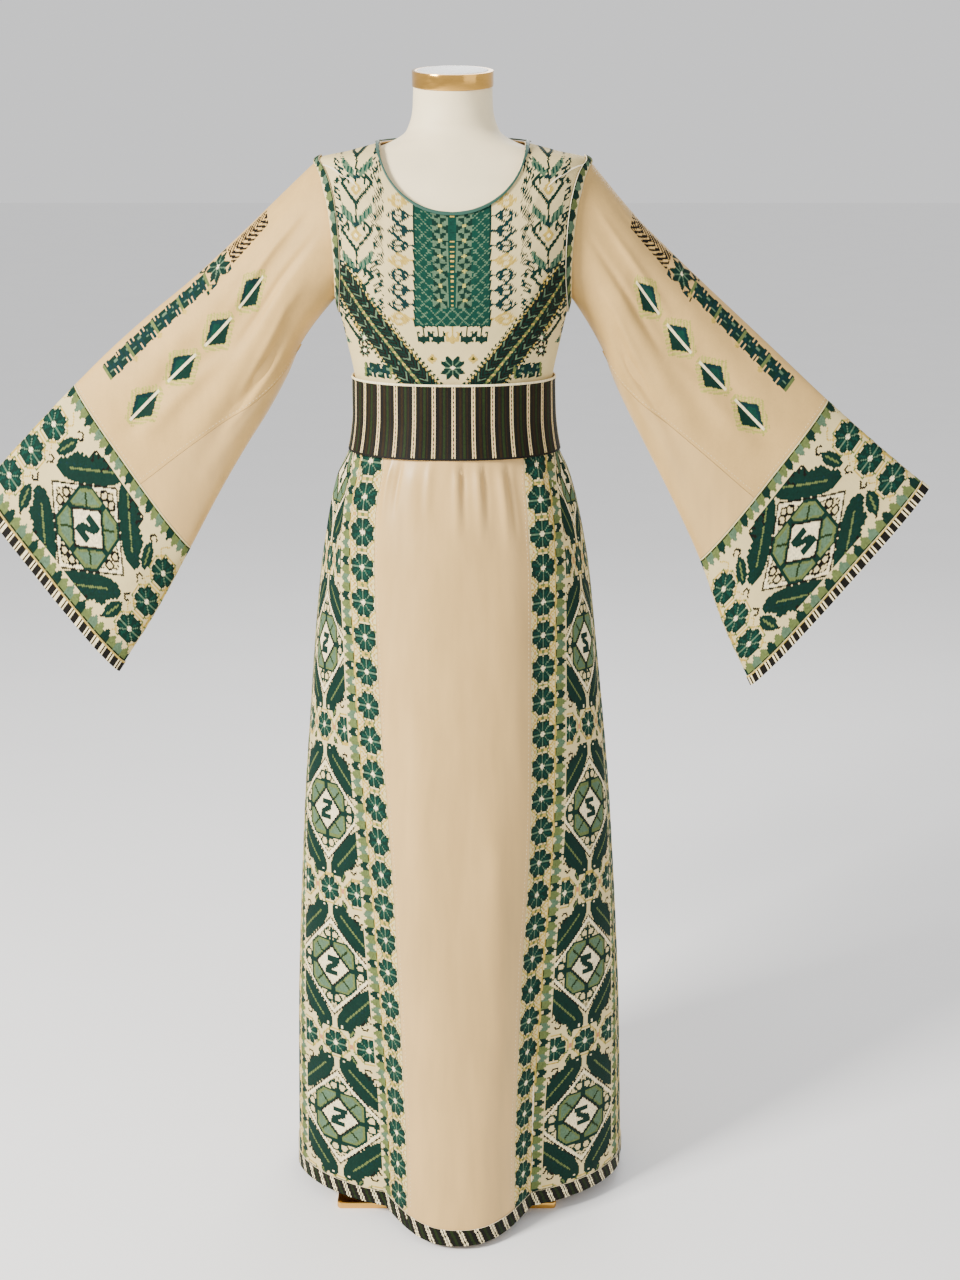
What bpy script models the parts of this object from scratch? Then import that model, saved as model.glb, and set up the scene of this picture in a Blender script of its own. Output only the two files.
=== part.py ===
"""Thobe robe on a limbless dress form: cut cloth pieces as thin walls around a stand.

Metres, +Z up, front towards -Y.  The origin is under the pole, on the base plate's underside.
"""

import math
from dataclasses import dataclass
from typing import NamedTuple

import bpy
import numpy as np
from mathutils import Matrix

WALL = 0.0013
SEAM_GAP = 0.0005
LAY_GAP = 0.0004
STRIP_GAP = 0.0015
ARMHOLE_GAP = 0.0014
CUFF_GAP = 0.002
TRIM_WALL = 0.0011
FORM_INSET = 0.0032
QUARTER = math.pi / 2

PLATE_SIZE = (0.305, 0.256, 0.0095)
PLATE_SHIFT = -0.0125
PLATE_EDGE = 0.002
POLE_RADIUS = 0.0125
FLANGE_RADIUS = 0.034
FLANGE_HEIGHT = 0.008
FLANGE_SLOPE = 0.7
COLLAR = 0.004
CAP_RADIUS = 0.051
CAP_HEIGHT = 0.019
CAP_RECESS = 0.004
CAP_RIM = 0.0065
CAP_TILT = math.radians(7.5)
CAP_CENTRE = (0.0, -0.006, 1.504)
CAP_EDGE = 0.001
DISC_DOME = 0.0022
DISC_STEPS = 4


class BodyRow(NamedTuple):
    """One ring of the dress form: how far it reaches, and how high, on each side."""
    name: str
    side: float
    side_z: float
    front: float
    front_z: float
    back: float
    back_z: float
    square: float


BODY = [
    BodyRow("hip edge", 0.134, 0.760, 0.086, 0.760, 0.094, 0.760, 2.1),
    BodyRow("hip", 0.150, 0.830, 0.094, 0.830, 0.106, 0.830, 2.1),
    BodyRow("high hip", 0.146, 0.910, 0.096, 0.910, 0.104, 0.910, 2.1),
    BodyRow("low waist", 0.131, 1.000, 0.096, 1.000, 0.097, 1.000, 2.1),
    BodyRow("waist", 0.1235, 1.115, 0.095, 1.115, 0.087, 1.115, 2.15),
    BodyRow("ribs", 0.1362, 1.195, 0.104, 1.195, 0.091, 1.195, 2.3),
    BodyRow("underarm", 0.1500, 1.255, 0.111, 1.265, 0.096, 1.262, 2.6),
    BodyRow("chest", 0.1600, 1.315, 0.108, 1.325, 0.096, 1.330, 2.9),
    BodyRow("high chest", 0.1680, 1.372, 0.093, 1.380, 0.089, 1.388, 2.8),
    BodyRow("shoulder point", 0.1720, 1.4125, 0.076, 1.414, 0.076, 1.420, 2.4),
    BodyRow("shoulder", 0.1300, 1.4245, 0.063, 1.433, 0.060, 1.437, 2.2),
    BodyRow("neck side", 0.0850, 1.4375, 0.056, 1.447, 0.049, 1.451, 2.1),
    BodyRow("neck base", 0.0580, 1.4520, 0.052, 1.460, 0.043, 1.465, 2.0),
    BodyRow("neck", 0.0505, 1.4780, 0.052, 1.478, 0.042, 1.486, 2.0),
    BodyRow("neck top", 0.0495, 1.5040, 0.0555, 1.4975, 0.0435, 1.5105, 2.0),
]
FORM_ROWS = (0.0, 0.5, 1.0, 2.0, 3.0, 3.6, 4.0, 4.5, 5.0, 5.5, 6.0, 6.5, 7.0, 7.5, 8.0, 8.5,
             8.8, 9.0, 9.3, 9.7, 10.2, 10.7, 11.1, 11.5, 11.8, 12.1, 12.6, 13.3, 14.0)
FORM_COLUMNS = 28
FORM_BARE_ROW = 12.1
SHOULDER_INSET = 0.0016
SHOULDER_INSET_ROWS = 1.5
WAIST_ROW = 3.833
ARM_TURN_REACH = 0.090
ARM_ROW_REACH = 0.045
UNDERARM_ROW = 5.84
SHOULDER_ROW = 8.98
NECK_ROW = 10.89
BACK_NECK_ROW = 10.20
ARMHOLE_SWING = math.radians(27.0)
ARMHOLE_PULL = 2.5
BODICE_EASE = 0.0008

NECK_HALF_WIDTH = 0.090
NECK_RIDGE_Z = 1.4385
NECK_DROP = 0.0835
ARMHOLE_TRIM_WIDTH = 0.0155
ARMHOLE_TRIM_MARGIN = 0.0014
NECK_BINDING_WIDTH = 0.0048
NECK_BINDING_STEPS = 12
NECK_BINDING_ROWS = 0.3
ARMHOLE_TRIM_STEPS = 40
SIDE_SEAM_STEPS = 4
ARMHOLE_STEPS = 10
SHOULDER_STEPS = 3
BODICE_COLUMNS = (0.0, 0.16, 0.32, 0.47, 0.61, 0.74, 0.87, 1.0)

BELT_SQUARE = 2.25
BELT_STEPS = 52


class BeltRow(NamedTuple):
    """One ring of the belt, on its outer face."""
    z: float
    half_width: float
    front: float
    back: float


BELT = [
    BeltRow(1.1450, 0.1318, 0.1035, 0.0935),
    BeltRow(1.0975, 0.1325, 0.1038, 0.0945),
    BeltRow(1.0720, 0.1350, 0.1056, 0.0970),
    BeltRow(1.0500, 0.1390, 0.1095, 0.1022),
]


class SkirtRow(NamedTuple):
    """One ring of the skirt, on its outer face; seams are distances from the middle."""
    z: float
    half_width: float
    front: float
    back: float
    prow: float
    prow_width: float
    left_seam: float
    right_seam: float


SKIRT = [
    SkirtRow(1.0976, 0.1285, 0.0990, 0.0895, 0.000, 0.110, 0.085, 0.086),
    SkirtRow(1.0500, 0.1368, 0.1062, 0.0990, 0.001, 0.112, 0.089, 0.089),
    SkirtRow(1.0200, 0.1500, 0.1110, 0.1080, 0.002, 0.114, 0.095, 0.092),
    SkirtRow(0.9770, 0.1620, 0.1160, 0.1180, 0.004, 0.116, 0.101, 0.096),
    SkirtRow(0.9000, 0.1765, 0.1220, 0.1300, 0.009, 0.118, 0.102, 0.098),
    SkirtRow(0.8000, 0.1885, 0.1280, 0.1400, 0.015, 0.118, 0.098, 0.098),
    SkirtRow(0.7000, 0.1995, 0.1330, 0.1480, 0.021, 0.116, 0.094, 0.098),
    SkirtRow(0.5800, 0.2105, 0.1400, 0.1560, 0.029, 0.113, 0.087, 0.097),
    SkirtRow(0.4700, 0.2180, 0.1450, 0.1610, 0.035, 0.110, 0.081, 0.092),
    SkirtRow(0.3700, 0.2240, 0.1500, 0.1650, 0.041, 0.107, 0.077, 0.086),
    SkirtRow(0.2700, 0.2290, 0.1550, 0.1680, 0.047, 0.104, 0.073, 0.082),
    SkirtRow(0.1300, 0.2330, 0.1620, 0.1710, 0.055, 0.102, 0.069, 0.077),
    SkirtRow(0.0120, 0.2355, 0.1680, 0.1740, 0.062, 0.100, 0.068, 0.076),
]
SKIRT_LEAN = 0.0045
HEM_RISE = 0.009
HEM_DROP = 0.005
HEM_REACH = 0.35
SWELL_SQUARE = 2.5
SWELL_EASE = 1.15
SKIRT_LEVELS = (1.0976, 1.0740, 1.0500, 1.0300, 1.0050, 0.9700, 0.9200, 0.8500, 0.7600,
                0.6500, 0.5300, 0.4100, 0.2800, 0.1500, 0.0325, 0.0120)
BACK_SEAM_ANGLE = math.radians(103.0)
FRONT_STEPS = 13
SIDE_STEPS = 11
BACK_STEPS = 14
HEM_BAND_LEVELS = 2
FOLD_RUN = 0.25
FOLD_FADE = 0.7
FOLD_SPREADS = 3.0


class Fold(NamedTuple):
    """A soft ridge (or a trough, where height is negative) that runs down the skirt."""
    angle: float
    width: float
    height: float
    top: float
    bottom: float


FOLDS = [
    Fold(-41.0, 4.2, -0.0045, 1.050, 0.930),
    Fold(-20.0, 5.0, 0.0030, 1.050, 0.960),
    Fold(7.0, 4.0, -0.0035, 1.050, 0.960),
    Fold(19.0, 4.5, -0.0045, 1.050, 0.930),
    Fold(34.0, 4.5, -0.0055, 1.050, 0.900),
    Fold(24.0, 7.0, 0.0040, 1.000, 0.300),
    Fold(-30.0, 8.0, 0.0035, 0.900, 0.250),
    Fold(66.0, 9.0, 0.0040, 0.950, 0.300),
    Fold(-64.0, 9.0, 0.0040, 0.900, 0.200),
    Fold(84.0, 8.0, -0.0040, 0.900, 0.010),
    Fold(-86.0, 8.0, -0.0040, 0.850, 0.010),
    Fold(120.0, 8.0, -0.0070, 1.050, 0.010),
    Fold(-123.0, 8.0, -0.0080, 1.050, 0.010),
    Fold(136.0, 9.0, 0.0080, 1.040, 0.010),
    Fold(-140.0, 9.0, 0.0080, 1.040, 0.010),
    Fold(152.0, 8.0, -0.0100, 1.040, 0.010),
    Fold(-156.0, 8.0, -0.0090, 1.040, 0.010),
    Fold(171.0, 10.0, 0.0090, 1.040, 0.010),
    Fold(-173.0, 9.0, 0.0060, 0.980, 0.010),
]


class SleeveRow(NamedTuple):
    """One ring of a sleeve: its upper and lower edge seen from the front, and its depth."""
    top_x: float
    top_z: float
    low_x: float
    low_z: float
    front: float
    back: float


LEFT_SLEEVE = [
    SleeveRow(-0.1740, 1.4155, -0.1560, 1.2380, 0.060, 0.056),
    SleeveRow(-0.2270, 1.3640, -0.1920, 1.1940, 0.058, 0.052),
    SleeveRow(-0.2810, 1.3140, -0.2165, 1.1420, 0.050, 0.046),
    SleeveRow(-0.3360, 1.2660, -0.2425, 1.0960, 0.043, 0.039),
    SleeveRow(-0.3890, 1.2240, -0.2700, 1.0540, 0.037, 0.033),
    SleeveRow(-0.4420, 1.1790, -0.3060, 0.9950, 0.032, 0.029),
    SleeveRow(-0.4920, 1.1320, -0.3500, 0.9160, 0.029, 0.026),
    SleeveRow(-0.5620, 1.0620, -0.4000, 0.8280, 0.027, 0.024),
    SleeveRow(-0.6320, 0.9880, -0.4550, 0.7440, 0.025, 0.022),
]
RIGHT_SLEEVE = [
    SleeveRow(0.1745, 1.4150, 0.1560, 1.2400, 0.060, 0.056),
    SleeveRow(0.2240, 1.3540, 0.1890, 1.1850, 0.058, 0.052),
    SleeveRow(0.2740, 1.3050, 0.2070, 1.1390, 0.050, 0.046),
    SleeveRow(0.3260, 1.2570, 0.2275, 1.0960, 0.043, 0.039),
    SleeveRow(0.3760, 1.2120, 0.2500, 1.0530, 0.037, 0.033),
    SleeveRow(0.4300, 1.1630, 0.2840, 0.9880, 0.032, 0.029),
    SleeveRow(0.4860, 1.1120, 0.3265, 0.8990, 0.029, 0.026),
    SleeveRow(0.5560, 1.0520, 0.3630, 0.8040, 0.027, 0.024),
    SleeveRow(0.6260, 0.9950, 0.4020, 0.7240, 0.025, 0.022),
]
CUFF_STATION = 6.0
SLEEVE_STATIONS = (0.0, 0.3, 0.7, 1.2, 1.8, 2.5, 3.3, 4.2, 5.1, 6.0)
GORE_FIRST = 3
GORE_SPREAD = math.radians(80.0)
GORE_POWER = 0.8
GORE_START = 0.05
CUFF_STATIONS = (6.006, 6.9, 7.83, 8.0)
ARMHOLE_BLEND = 1.2
ARMHOLE_EASE = 0.35
UPPER_SLEEVE_STEPS = 20
GORE_STEPS = 8
CUFF_STEPS = 24


class SleeveFold(NamedTuple):
    """A crease on a sleeve: where it lies round the ring, and between which stations."""
    angle: float
    width: float
    height: float
    start: float
    end: float
    drift: float


SLEEVE_FOLDS = [
    SleeveFold(48.0, 12.0, 0.0040, 0.4, 5.6, 2.0),
    SleeveFold(74.0, 12.0, -0.0050, 0.3, 4.8, 4.0),
    SleeveFold(102.0, 12.0, 0.0050, 0.5, 5.8, 3.0),
    SleeveFold(128.0, 11.0, -0.0045, 0.6, 5.0, 0.0),
    SleeveFold(150.0, 10.0, 0.0035, 1.0, 5.6, -3.0),
    SleeveFold(80.0, 16.0, -0.0030, 5.4, 8.6, 0.0),
    SleeveFold(124.0, 14.0, 0.0030, 5.2, 8.6, 3.0),
    SleeveFold(230.0, 14.0, 0.0045, 0.5, 5.6, -3.0),
    SleeveFold(262.0, 13.0, -0.0050, 0.3, 5.2, -4.0),
    SleeveFold(294.0, 14.0, 0.0045, 0.5, 5.8, 2.0),
    SleeveFold(258.0, 16.0, -0.0030, 5.4, 8.6, 2.0),
]


@dataclass(frozen=True)
class Finish:
    """A plain look for one kind of piece."""
    name: str
    colour: tuple
    roughness: float
    metallic: float = 0.0


SATIN = Finish("cream_satin", (0.80, 0.66, 0.45), 0.45)
EMBROIDERED = Finish("embroidered_ground", (0.30, 0.38, 0.28), 0.75)
BODICE_CLOTH = Finish("bodice_embroidery", (0.18, 0.30, 0.22), 0.8)
STRIPED = Finish("striped_cloth", (0.10, 0.08, 0.04), 0.6)
TRIM_CLOTH = Finish("trim_embroidery", (0.20, 0.30, 0.18), 0.8)
BINDING = Finish("dark_green_binding", (0.01, 0.08, 0.06), 0.6)
FORM_COVER = Finish("ivory_form_cover", (0.88, 0.84, 0.74), 0.6)
GOLD = Finish("gold_metal", (0.80, 0.55, 0.22), 0.25, 1.0)
CAP_WHITE = Finish("cap_white", (0.72, 0.72, 0.72), 0.5)


def clear_scene():
    """Remove whatever the scene holds, so the model is built into an empty one."""
    for item in list(bpy.data.objects):
        bpy.data.objects.remove(item, do_unlink=True)


def make_material(finish):
    """Make a finish's Principled material, or give back the one already made."""
    material = bpy.data.materials.get(finish.name)
    if material is None:
        material = bpy.data.materials.new(finish.name)
        material.use_nodes = True
        shader = material.node_tree.nodes["Principled BSDF"]
        shader.inputs["Base Color"].default_value = (*finish.colour, 1.0)
        shader.inputs["Roughness"].default_value = finish.roughness
        shader.inputs["Metallic"].default_value = finish.metallic
    return material


def read_table(stations, values, at):
    """Read a smooth, never overshooting curve through a table's values at one station.

    The slope at each row is the harmonic mean of its neighbours' slopes, or 0 at a turn.
    """
    x = np.asarray(stations, dtype=float)
    y = np.asarray(values, dtype=float)
    if x[0] > x[-1]:
        x, y = x[::-1], y[::-1]
    run = np.diff(x)
    rise = np.diff(y) / run
    slope = np.empty_like(y)
    slope[0], slope[-1] = rise[0], rise[-1]
    for i in range(1, len(x) - 1):
        together = rise[i - 1] * rise[i]
        slope[i] = 2.0 * together / (rise[i - 1] + rise[i]) if together > 0 else 0.0
    i = int(np.clip(np.searchsorted(x, at) - 1, 0, len(run) - 1))
    t = float(np.clip((at - x[i]) / run[i], 0.0, 1.0))
    return ((1 + 2 * t) * (1 - t) ** 2 * y[i] + t * (1 - t) ** 2 * run[i] * slope[i]
            + t * t * (3 - 2 * t) * y[i + 1] + t * t * (t - 1) * run[i] * slope[i + 1])


def column(table, name, at, station=None):
    """Read a named column of a table, by row number or by the column that sets its station."""
    values = [getattr(row, name) for row in table]
    stations = range(len(table)) if station is None else [getattr(row, station) for row in table]
    return float(read_table(list(stations), values, at))


def power(value, exponent):
    """Raise a signed number to a power, keeping its sign."""
    return math.copysign(abs(value) ** exponent, value)


def body_point(angle, row):
    """Point of the dress form's skin: angle 0 is the front middle, a quarter turn is +X."""
    exponent = 2.0 / column(BODY, "square", row)
    facing = "front" if math.cos(angle) >= 0 else "back"
    share = math.cos(angle) ** 2
    depth = column(BODY, facing, row)
    height = share * column(BODY, facing + "_z", row) + (1 - share) * column(BODY, "side_z", row)
    return np.array((column(BODY, "side", row) * power(math.sin(angle), exponent),
                     -depth * power(math.cos(angle), exponent), height))


def body_normal(angle, row):
    """Outward direction of the dress form's skin."""
    step = 0.02
    across = body_point(angle + step, row) - body_point(angle - step, row)
    up = body_point(angle, row + step) - body_point(angle, row - step)
    normal = np.cross(across, up)
    return normal / np.linalg.norm(normal)


def body_offset(angle, row, distance):
    """Point at a distance outside the dress form's skin."""
    return body_point(angle, row) + distance * body_normal(angle, row)


def place_on_front(x, z):
    """Find the angle and the row of the form's front where it shows at x and z."""
    low, high = WAIST_ROW, NECK_ROW
    for _ in range(40):
        row = (low + high) / 2
        side = column(BODY, "side", row)
        reach = min(abs(x) / side, 1.0)
        angle = math.asin(reach ** (column(BODY, "square", row) / 2))
        if body_point(angle, row)[2] < z and abs(x) < side:
            low = row
        else:
            high = row
    return math.copysign(angle, x), row


def armhole_place(turn, swing=ARMHOLE_SWING, reach=0.0):
    """Angle and row of the armhole's edge; turn 0 is the shoulder, half a turn the underarm."""
    middle = (SHOULDER_ROW + UNDERARM_ROW) / 2
    reach += (SHOULDER_ROW - UNDERARM_ROW) / 2
    return QUARTER - swing * math.sin(turn), middle + reach * math.cos(turn)


def neckline_row(angle, facing):
    """Row that the neckline crosses at an angle from the middle of the front or the back."""
    if facing == "back":
        return NECK_ROW - (NECK_ROW - BACK_NECK_ROW) * math.cos(angle)
    if angle > QUARTER - 0.001:
        return NECK_ROW
    low, high = 0.0, QUARTER
    for _ in range(30):
        turn = (low + high) / 2
        found, row = place_on_front(NECK_HALF_WIDTH * math.sin(turn),
                                    NECK_RIDGE_Z - NECK_DROP * math.cos(turn))
        if found < angle:
            low = turn
        else:
            high = turn
    return row


def bodice_edge_places():
    """Angle and row down the side edge: side seam, armhole and shoulder, from the waist up."""
    places = [(QUARTER, WAIST_ROW + (UNDERARM_ROW - WAIST_ROW) * i / SIDE_SEAM_STEPS)
              for i in range(SIDE_SEAM_STEPS)]
    places += [armhole_place(math.pi * (1 - i / ARMHOLE_STEPS)) for i in range(ARMHOLE_STEPS)]
    places += [(QUARTER, SHOULDER_ROW + (NECK_ROW - SHOULDER_ROW) * i / SHOULDER_STEPS)
               for i in range(SHOULDER_STEPS + 1)]
    return places


def bodice_half(facing):
    """Outer face of one bodice half: columns from the middle to the edge, rows from the waist.

    Each row runs from the side edge down to the middle, so that the last one is the neckline.
    """
    necks = [neckline_row(QUARTER * share, facing) for share in BODICE_COLUMNS]
    grid = []
    for edge_angle, edge_row in bodice_edge_places():
        climb = (edge_row - WAIST_ROW) / (NECK_ROW - WAIST_ROW)
        line = []
        for share, neck in zip(BODICE_COLUMNS, necks):
            angle = QUARTER * share - (QUARTER - edge_angle) * share ** ARMHOLE_PULL
            row = WAIST_ROW + climb * (neck - WAIST_ROW)
            turned = angle if facing == "front" else math.pi - angle
            distance = LAY_GAP + WALL + BODICE_EASE * (1 - climb)
            line.append(body_offset(turned, row, distance))
        grid.append(line)
    return np.array(grid)


def mirrored(grid):
    """Mirror a grid's points across the middle plane and turn its columns round."""
    return (grid * np.array((-1.0, 1.0, 1.0)))[:, ::-1]


def ring_normals(grid, closed):
    """Outward directions of a grid's points, from the lines through each point's neighbours."""
    if closed:
        across = np.roll(grid, -1, axis=1) - np.roll(grid, 1, axis=1)
    else:
        across = np.gradient(grid, axis=1)
    along = np.gradient(grid, axis=0)
    normals = np.cross(across, along)
    return normals / np.linalg.norm(normals, axis=2, keepdims=True)


def moved_out(grid, distance, closed=False, outward=1.0):
    """Grid moved along its own outward directions."""
    return grid + outward * distance * ring_normals(grid, closed)


def parted(grid, gap, start=True, end=True, axis=1):
    """Draw the first or last line of a grid inwards, to leave half of a seam's gap."""
    lines = np.moveaxis(grid.copy(), axis, 0)
    pairs = ([(0, 1)] if start else []) + ([(-1, -2)] if end else [])
    for edge, neighbour in pairs:
        towards = lines[neighbour] - lines[edge]
        lines[edge] += towards / np.linalg.norm(towards, axis=1, keepdims=True) * gap / 2
    return np.moveaxis(lines, 0, axis)


def ring_faces(rows, columns, closed):
    """Faces of a grid of points, which may close on itself across its columns."""
    reach = columns if closed else columns - 1
    return [(r * columns + c, r * columns + (c + 1) % columns,
             (r + 1) * columns + (c + 1) % columns, (r + 1) * columns + c)
            for r in range(rows - 1) for c in range(reach)]


def loft(name, grid, closed, collection, finish, thickness=WALL):
    """Make a cloth wall: a lofted face grid, thickened inwards by a Solidify modifier."""
    mesh = bpy.data.meshes.new(name)
    mesh.from_pydata(grid.reshape(-1, 3).tolist(), [], ring_faces(*grid.shape[:2], closed))
    mesh.validate()
    piece = add_object(name, mesh, collection, finish)
    wall = piece.modifiers.new("wall", "SOLIDIFY")
    wall.thickness = thickness
    wall.offset = -1.0
    wall.use_even_offset = False
    return piece


def add_object(name, mesh, collection, finish):
    """Put a mesh into the collection as a smooth shaded object with its finish."""
    mesh.materials.append(make_material(finish))
    mesh.shade_smooth()
    mesh.set_sharp_from_angle(angle=math.radians(40))
    piece = bpy.data.objects.new(name, mesh)
    collection.objects.link(piece)
    return piece


def build_bodice(collection):
    """Front and back of the bodice."""
    for facing in ("front", "back"):
        half = bodice_half(facing)
        whole = np.concatenate((mirrored(half)[:, :-1], half), axis=1)
        if facing == "back":
            whole = whole[:, ::-1]
        loft(f"bodice_{facing}", parted(whole, SEAM_GAP), False, collection, BODICE_CLOTH)


def strip_height():
    """Distance of a laid strip's outer face from the dress form's skin."""
    return LAY_GAP + WALL + STRIP_GAP + TRIM_WALL


def build_armhole_trims(collection):
    """A strip round each armhole, between the armhole's edge and a wider copy of it."""
    rows = []
    for i in range(ARMHOLE_TRIM_STEPS):
        turn = math.pi - 2 * math.pi * i / ARMHOLE_TRIM_STEPS
        margin = ARMHOLE_TRIM_MARGIN * (2 - math.cos(turn))
        line = []
        for width in (ARMHOLE_TRIM_WIDTH, margin):
            swing = ARMHOLE_SWING + width / ARM_TURN_REACH
            angle, row = armhole_place(turn, swing, width / ARM_ROW_REACH)
            line.append(body_offset(angle, row, strip_height()))
        rows.append(line)
    ring = np.moveaxis(np.array(rows), 0, 1)[::-1]
    loft("armhole_trim_right", ring, True, collection, TRIM_CLOTH, TRIM_WALL)
    loft("armhole_trim_left", mirrored(ring), True, collection, TRIM_CLOTH, TRIM_WALL)


def build_neck_binding(collection):
    """A narrow ring round the neckline, on the bodice."""
    edge = []
    for facing in ("front", "back"):
        angles = [QUARTER * i / NECK_BINDING_STEPS for i in range(NECK_BINDING_STEPS + 1)]
        line = [(angle, neckline_row(angle, facing)) for angle in angles]
        if facing == "back":
            line = [(math.pi - angle, row) for angle, row in reversed(line)][1:]
        edge += line
    right = []
    for angle, row in edge:
        top = body_offset(angle, row, strip_height())
        below = body_offset(angle, row - NECK_BINDING_ROWS, strip_height())
        fall = (below - top) / np.linalg.norm(below - top)
        right.append((top + fall * NECK_BINDING_WIDTH, top + fall * SEAM_GAP))
    right = np.moveaxis(np.array(right), 0, 1)
    ring = np.concatenate((right, mirrored(right)[:, 1:-1]), axis=1)
    loft("neck_binding", ring, True, collection, BINDING, TRIM_WALL)


def build_belt(collection):
    """The belt: a closed band over the waist seam."""
    rows = []
    exponent = 2.0 / BELT_SQUARE
    for level in reversed(BELT):
        ring = []
        for i in range(BELT_STEPS):
            angle = 2 * math.pi * i / BELT_STEPS
            depth = level.front if math.cos(angle) >= 0 else level.back
            ring.append((level.half_width * power(math.sin(angle), exponent),
                         -depth * power(math.cos(angle), exponent), level.z))
        rows.append(ring)
    loft("belt", np.array(rows), True, collection, STRIPED)


def fold_height(angle, z):
    """Sum of the skirt's folds at one place, fading in below each fold's top."""
    total = 0.0
    for fold in FOLDS:
        centre = math.radians(fold.angle)
        away = math.atan2(math.sin(angle - centre), math.cos(angle - centre))
        spread = math.radians(fold.width)
        if z > fold.top or abs(away) > FOLD_SPREADS * spread:
            continue
        drop = (fold.top - z) / (fold.top - fold.bottom)
        run = min(drop / FOLD_RUN, 1.0)
        swell = run * run * (3 - 2 * run)
        fade = 1.0 if fold.bottom < SKIRT_LEVELS[-2] else max(0.0, 1.0 - drop) ** FOLD_FADE
        total += fold.height * swell * fade * math.exp(-(away / spread) ** 2)
    return total


def skirt_point(angle, z):
    """Point of the skirt's outer face: an ellipse with a forward swell and soft folds.

    The hem hangs lowest where the swell is fullest and rises towards the sides and back.
    """
    half_width = column(SKIRT, "half_width", z, "z")
    facing = "front" if math.cos(angle) >= 0 else "back"
    depth = column(SKIRT, facing, z, "z")
    x = half_width * math.sin(angle)
    y = -depth * math.cos(angle)
    swell = 0.0
    if facing == "front":
        reach = min(abs(x) / column(SKIRT, "prow_width", z, "z"), 1.0)
        swell = (1 - reach ** SWELL_SQUARE) ** SWELL_EASE
    y -= column(SKIRT, "prow", z, "z") * swell
    push = 1.0 + fold_height(angle, z) / math.hypot(x, y)
    lean = SKIRT_LEAN * (SKIRT[0].z - z) / SKIRT[0].z
    lift = HEM_RISE - (HEM_RISE + HEM_DROP) * swell
    lift *= max(0.0, 1.0 - z / HEM_REACH) ** 2
    return np.array((x * push + lean, y * push, z + lift))


def skirt_angles(z):
    """Angles of the skirt's columns at a height, round from the left front seam."""
    half_width = column(SKIRT, "half_width", z, "z")
    left = -math.asin(column(SKIRT, "left_seam", z, "z") / half_width)
    right = math.asin(column(SKIRT, "right_seam", z, "z") / half_width)
    marks = (left, right, BACK_SEAM_ANGLE, 2 * math.pi - BACK_SEAM_ANGLE, 2 * math.pi + left)
    steps = (FRONT_STEPS, SIDE_STEPS, BACK_STEPS, SIDE_STEPS)
    angles = []
    for start, end, count in zip(marks[:-1], marks[1:], steps):
        angles += [start + (end - start) * i / count for i in range(count)]
    return angles


def build_skirt(collection):
    """Front, two sides and back of the skirt, and the hem band that lies on them."""
    ring = np.array([[skirt_point(angle, z) for angle in skirt_angles(z)]
                     for z in reversed(SKIRT_LEVELS)])
    looped = np.concatenate((ring, ring[:, :1]), axis=1)
    marks = np.cumsum((0, FRONT_STEPS, SIDE_STEPS, BACK_STEPS, SIDE_STEPS))
    names = ("skirt_front", "skirt_side_right", "skirt_back", "skirt_side_left")
    finishes = (SATIN, EMBROIDERED, SATIN, EMBROIDERED)
    for name, start, end, finish in zip(names, marks[:-1], marks[1:], finishes):
        loft(name, parted(looped[:, start:end + 1], SEAM_GAP), False, collection, finish)
    band = moved_out(ring, LAY_GAP + TRIM_WALL, closed=True)[:HEM_BAND_LEVELS]
    band[0, :, 2] = ring[0, :, 2]
    loft("hem_band", band, True, collection, STRIPED, TRIM_WALL)


def sleeve_fold(turn, station):
    """Sum of the sleeve's creases at one place."""
    degrees = math.degrees(turn) % 360.0
    total = 0.0
    for fold in SLEEVE_FOLDS:
        if not fold.start < station < fold.end:
            continue
        along = (station - fold.start) / (fold.end - fold.start)
        away = (degrees - fold.angle - fold.drift * (station - fold.start) + 180.0) % 360.0 - 180.0
        total += fold.height * math.sin(math.pi * along) ** 0.8 * math.exp(-(away / fold.width) ** 2)
    return total


def sleeve_point(table, turn, station):
    """Point of a sleeve's outer face: turn 0 is its upper edge, a quarter turn its front."""
    top = np.array((column(table, "top_x", station), 0.0, column(table, "top_z", station)))
    low = np.array((column(table, "low_x", station), 0.0, column(table, "low_z", station)))
    depth = column(table, "front" if math.sin(turn) >= 0 else "back", station)
    deep = depth * math.sin(turn)
    if station > 0:
        deep += math.copysign(sleeve_fold(turn, station), math.sin(turn)) * abs(math.sin(turn))
    ring = (top + low) / 2 + (top - low) / 2 * math.cos(turn) + np.array((0.0, -deep, 0.0))
    if station >= ARMHOLE_BLEND:
        return ring
    side = math.copysign(1.0, top[0])
    angle, row = armhole_place(turn)
    edge = body_offset(angle, row, LAY_GAP + WALL)
    edge[0] *= side
    share = station / ARMHOLE_BLEND
    share += ARMHOLE_EASE * (share * share * (3 - 2 * share) - share)
    point = edge * (1 - share) + ring * share
    if station == 0:
        outward = sleeve_point(table, turn, 0.3) - point
        part = SEAM_GAP + ARMHOLE_GAP * math.cos(turn) ** 2
        point = point + outward / np.linalg.norm(outward) * part
    return point


def gore_edge(station):
    """Turn at which the seam between the upper sleeve and its gore runs."""
    first = SLEEVE_STATIONS[GORE_FIRST]
    if station < first:
        return math.pi
    share = (station - first) / (CUFF_STATION - first)
    return math.pi - GORE_SPREAD * (GORE_START + (1 - GORE_START) * share ** GORE_POWER)


def sleeve_strip(table, stations, span, steps):
    """Grid of a sleeve piece between two turns that may change with the station."""
    rows = []
    for station in stations:
        start, end = span(station)
        rows.append([sleeve_point(table, start + (end - start) * i / steps, station)
                     for i in range(steps + 1)])
    return np.array(rows)


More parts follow.
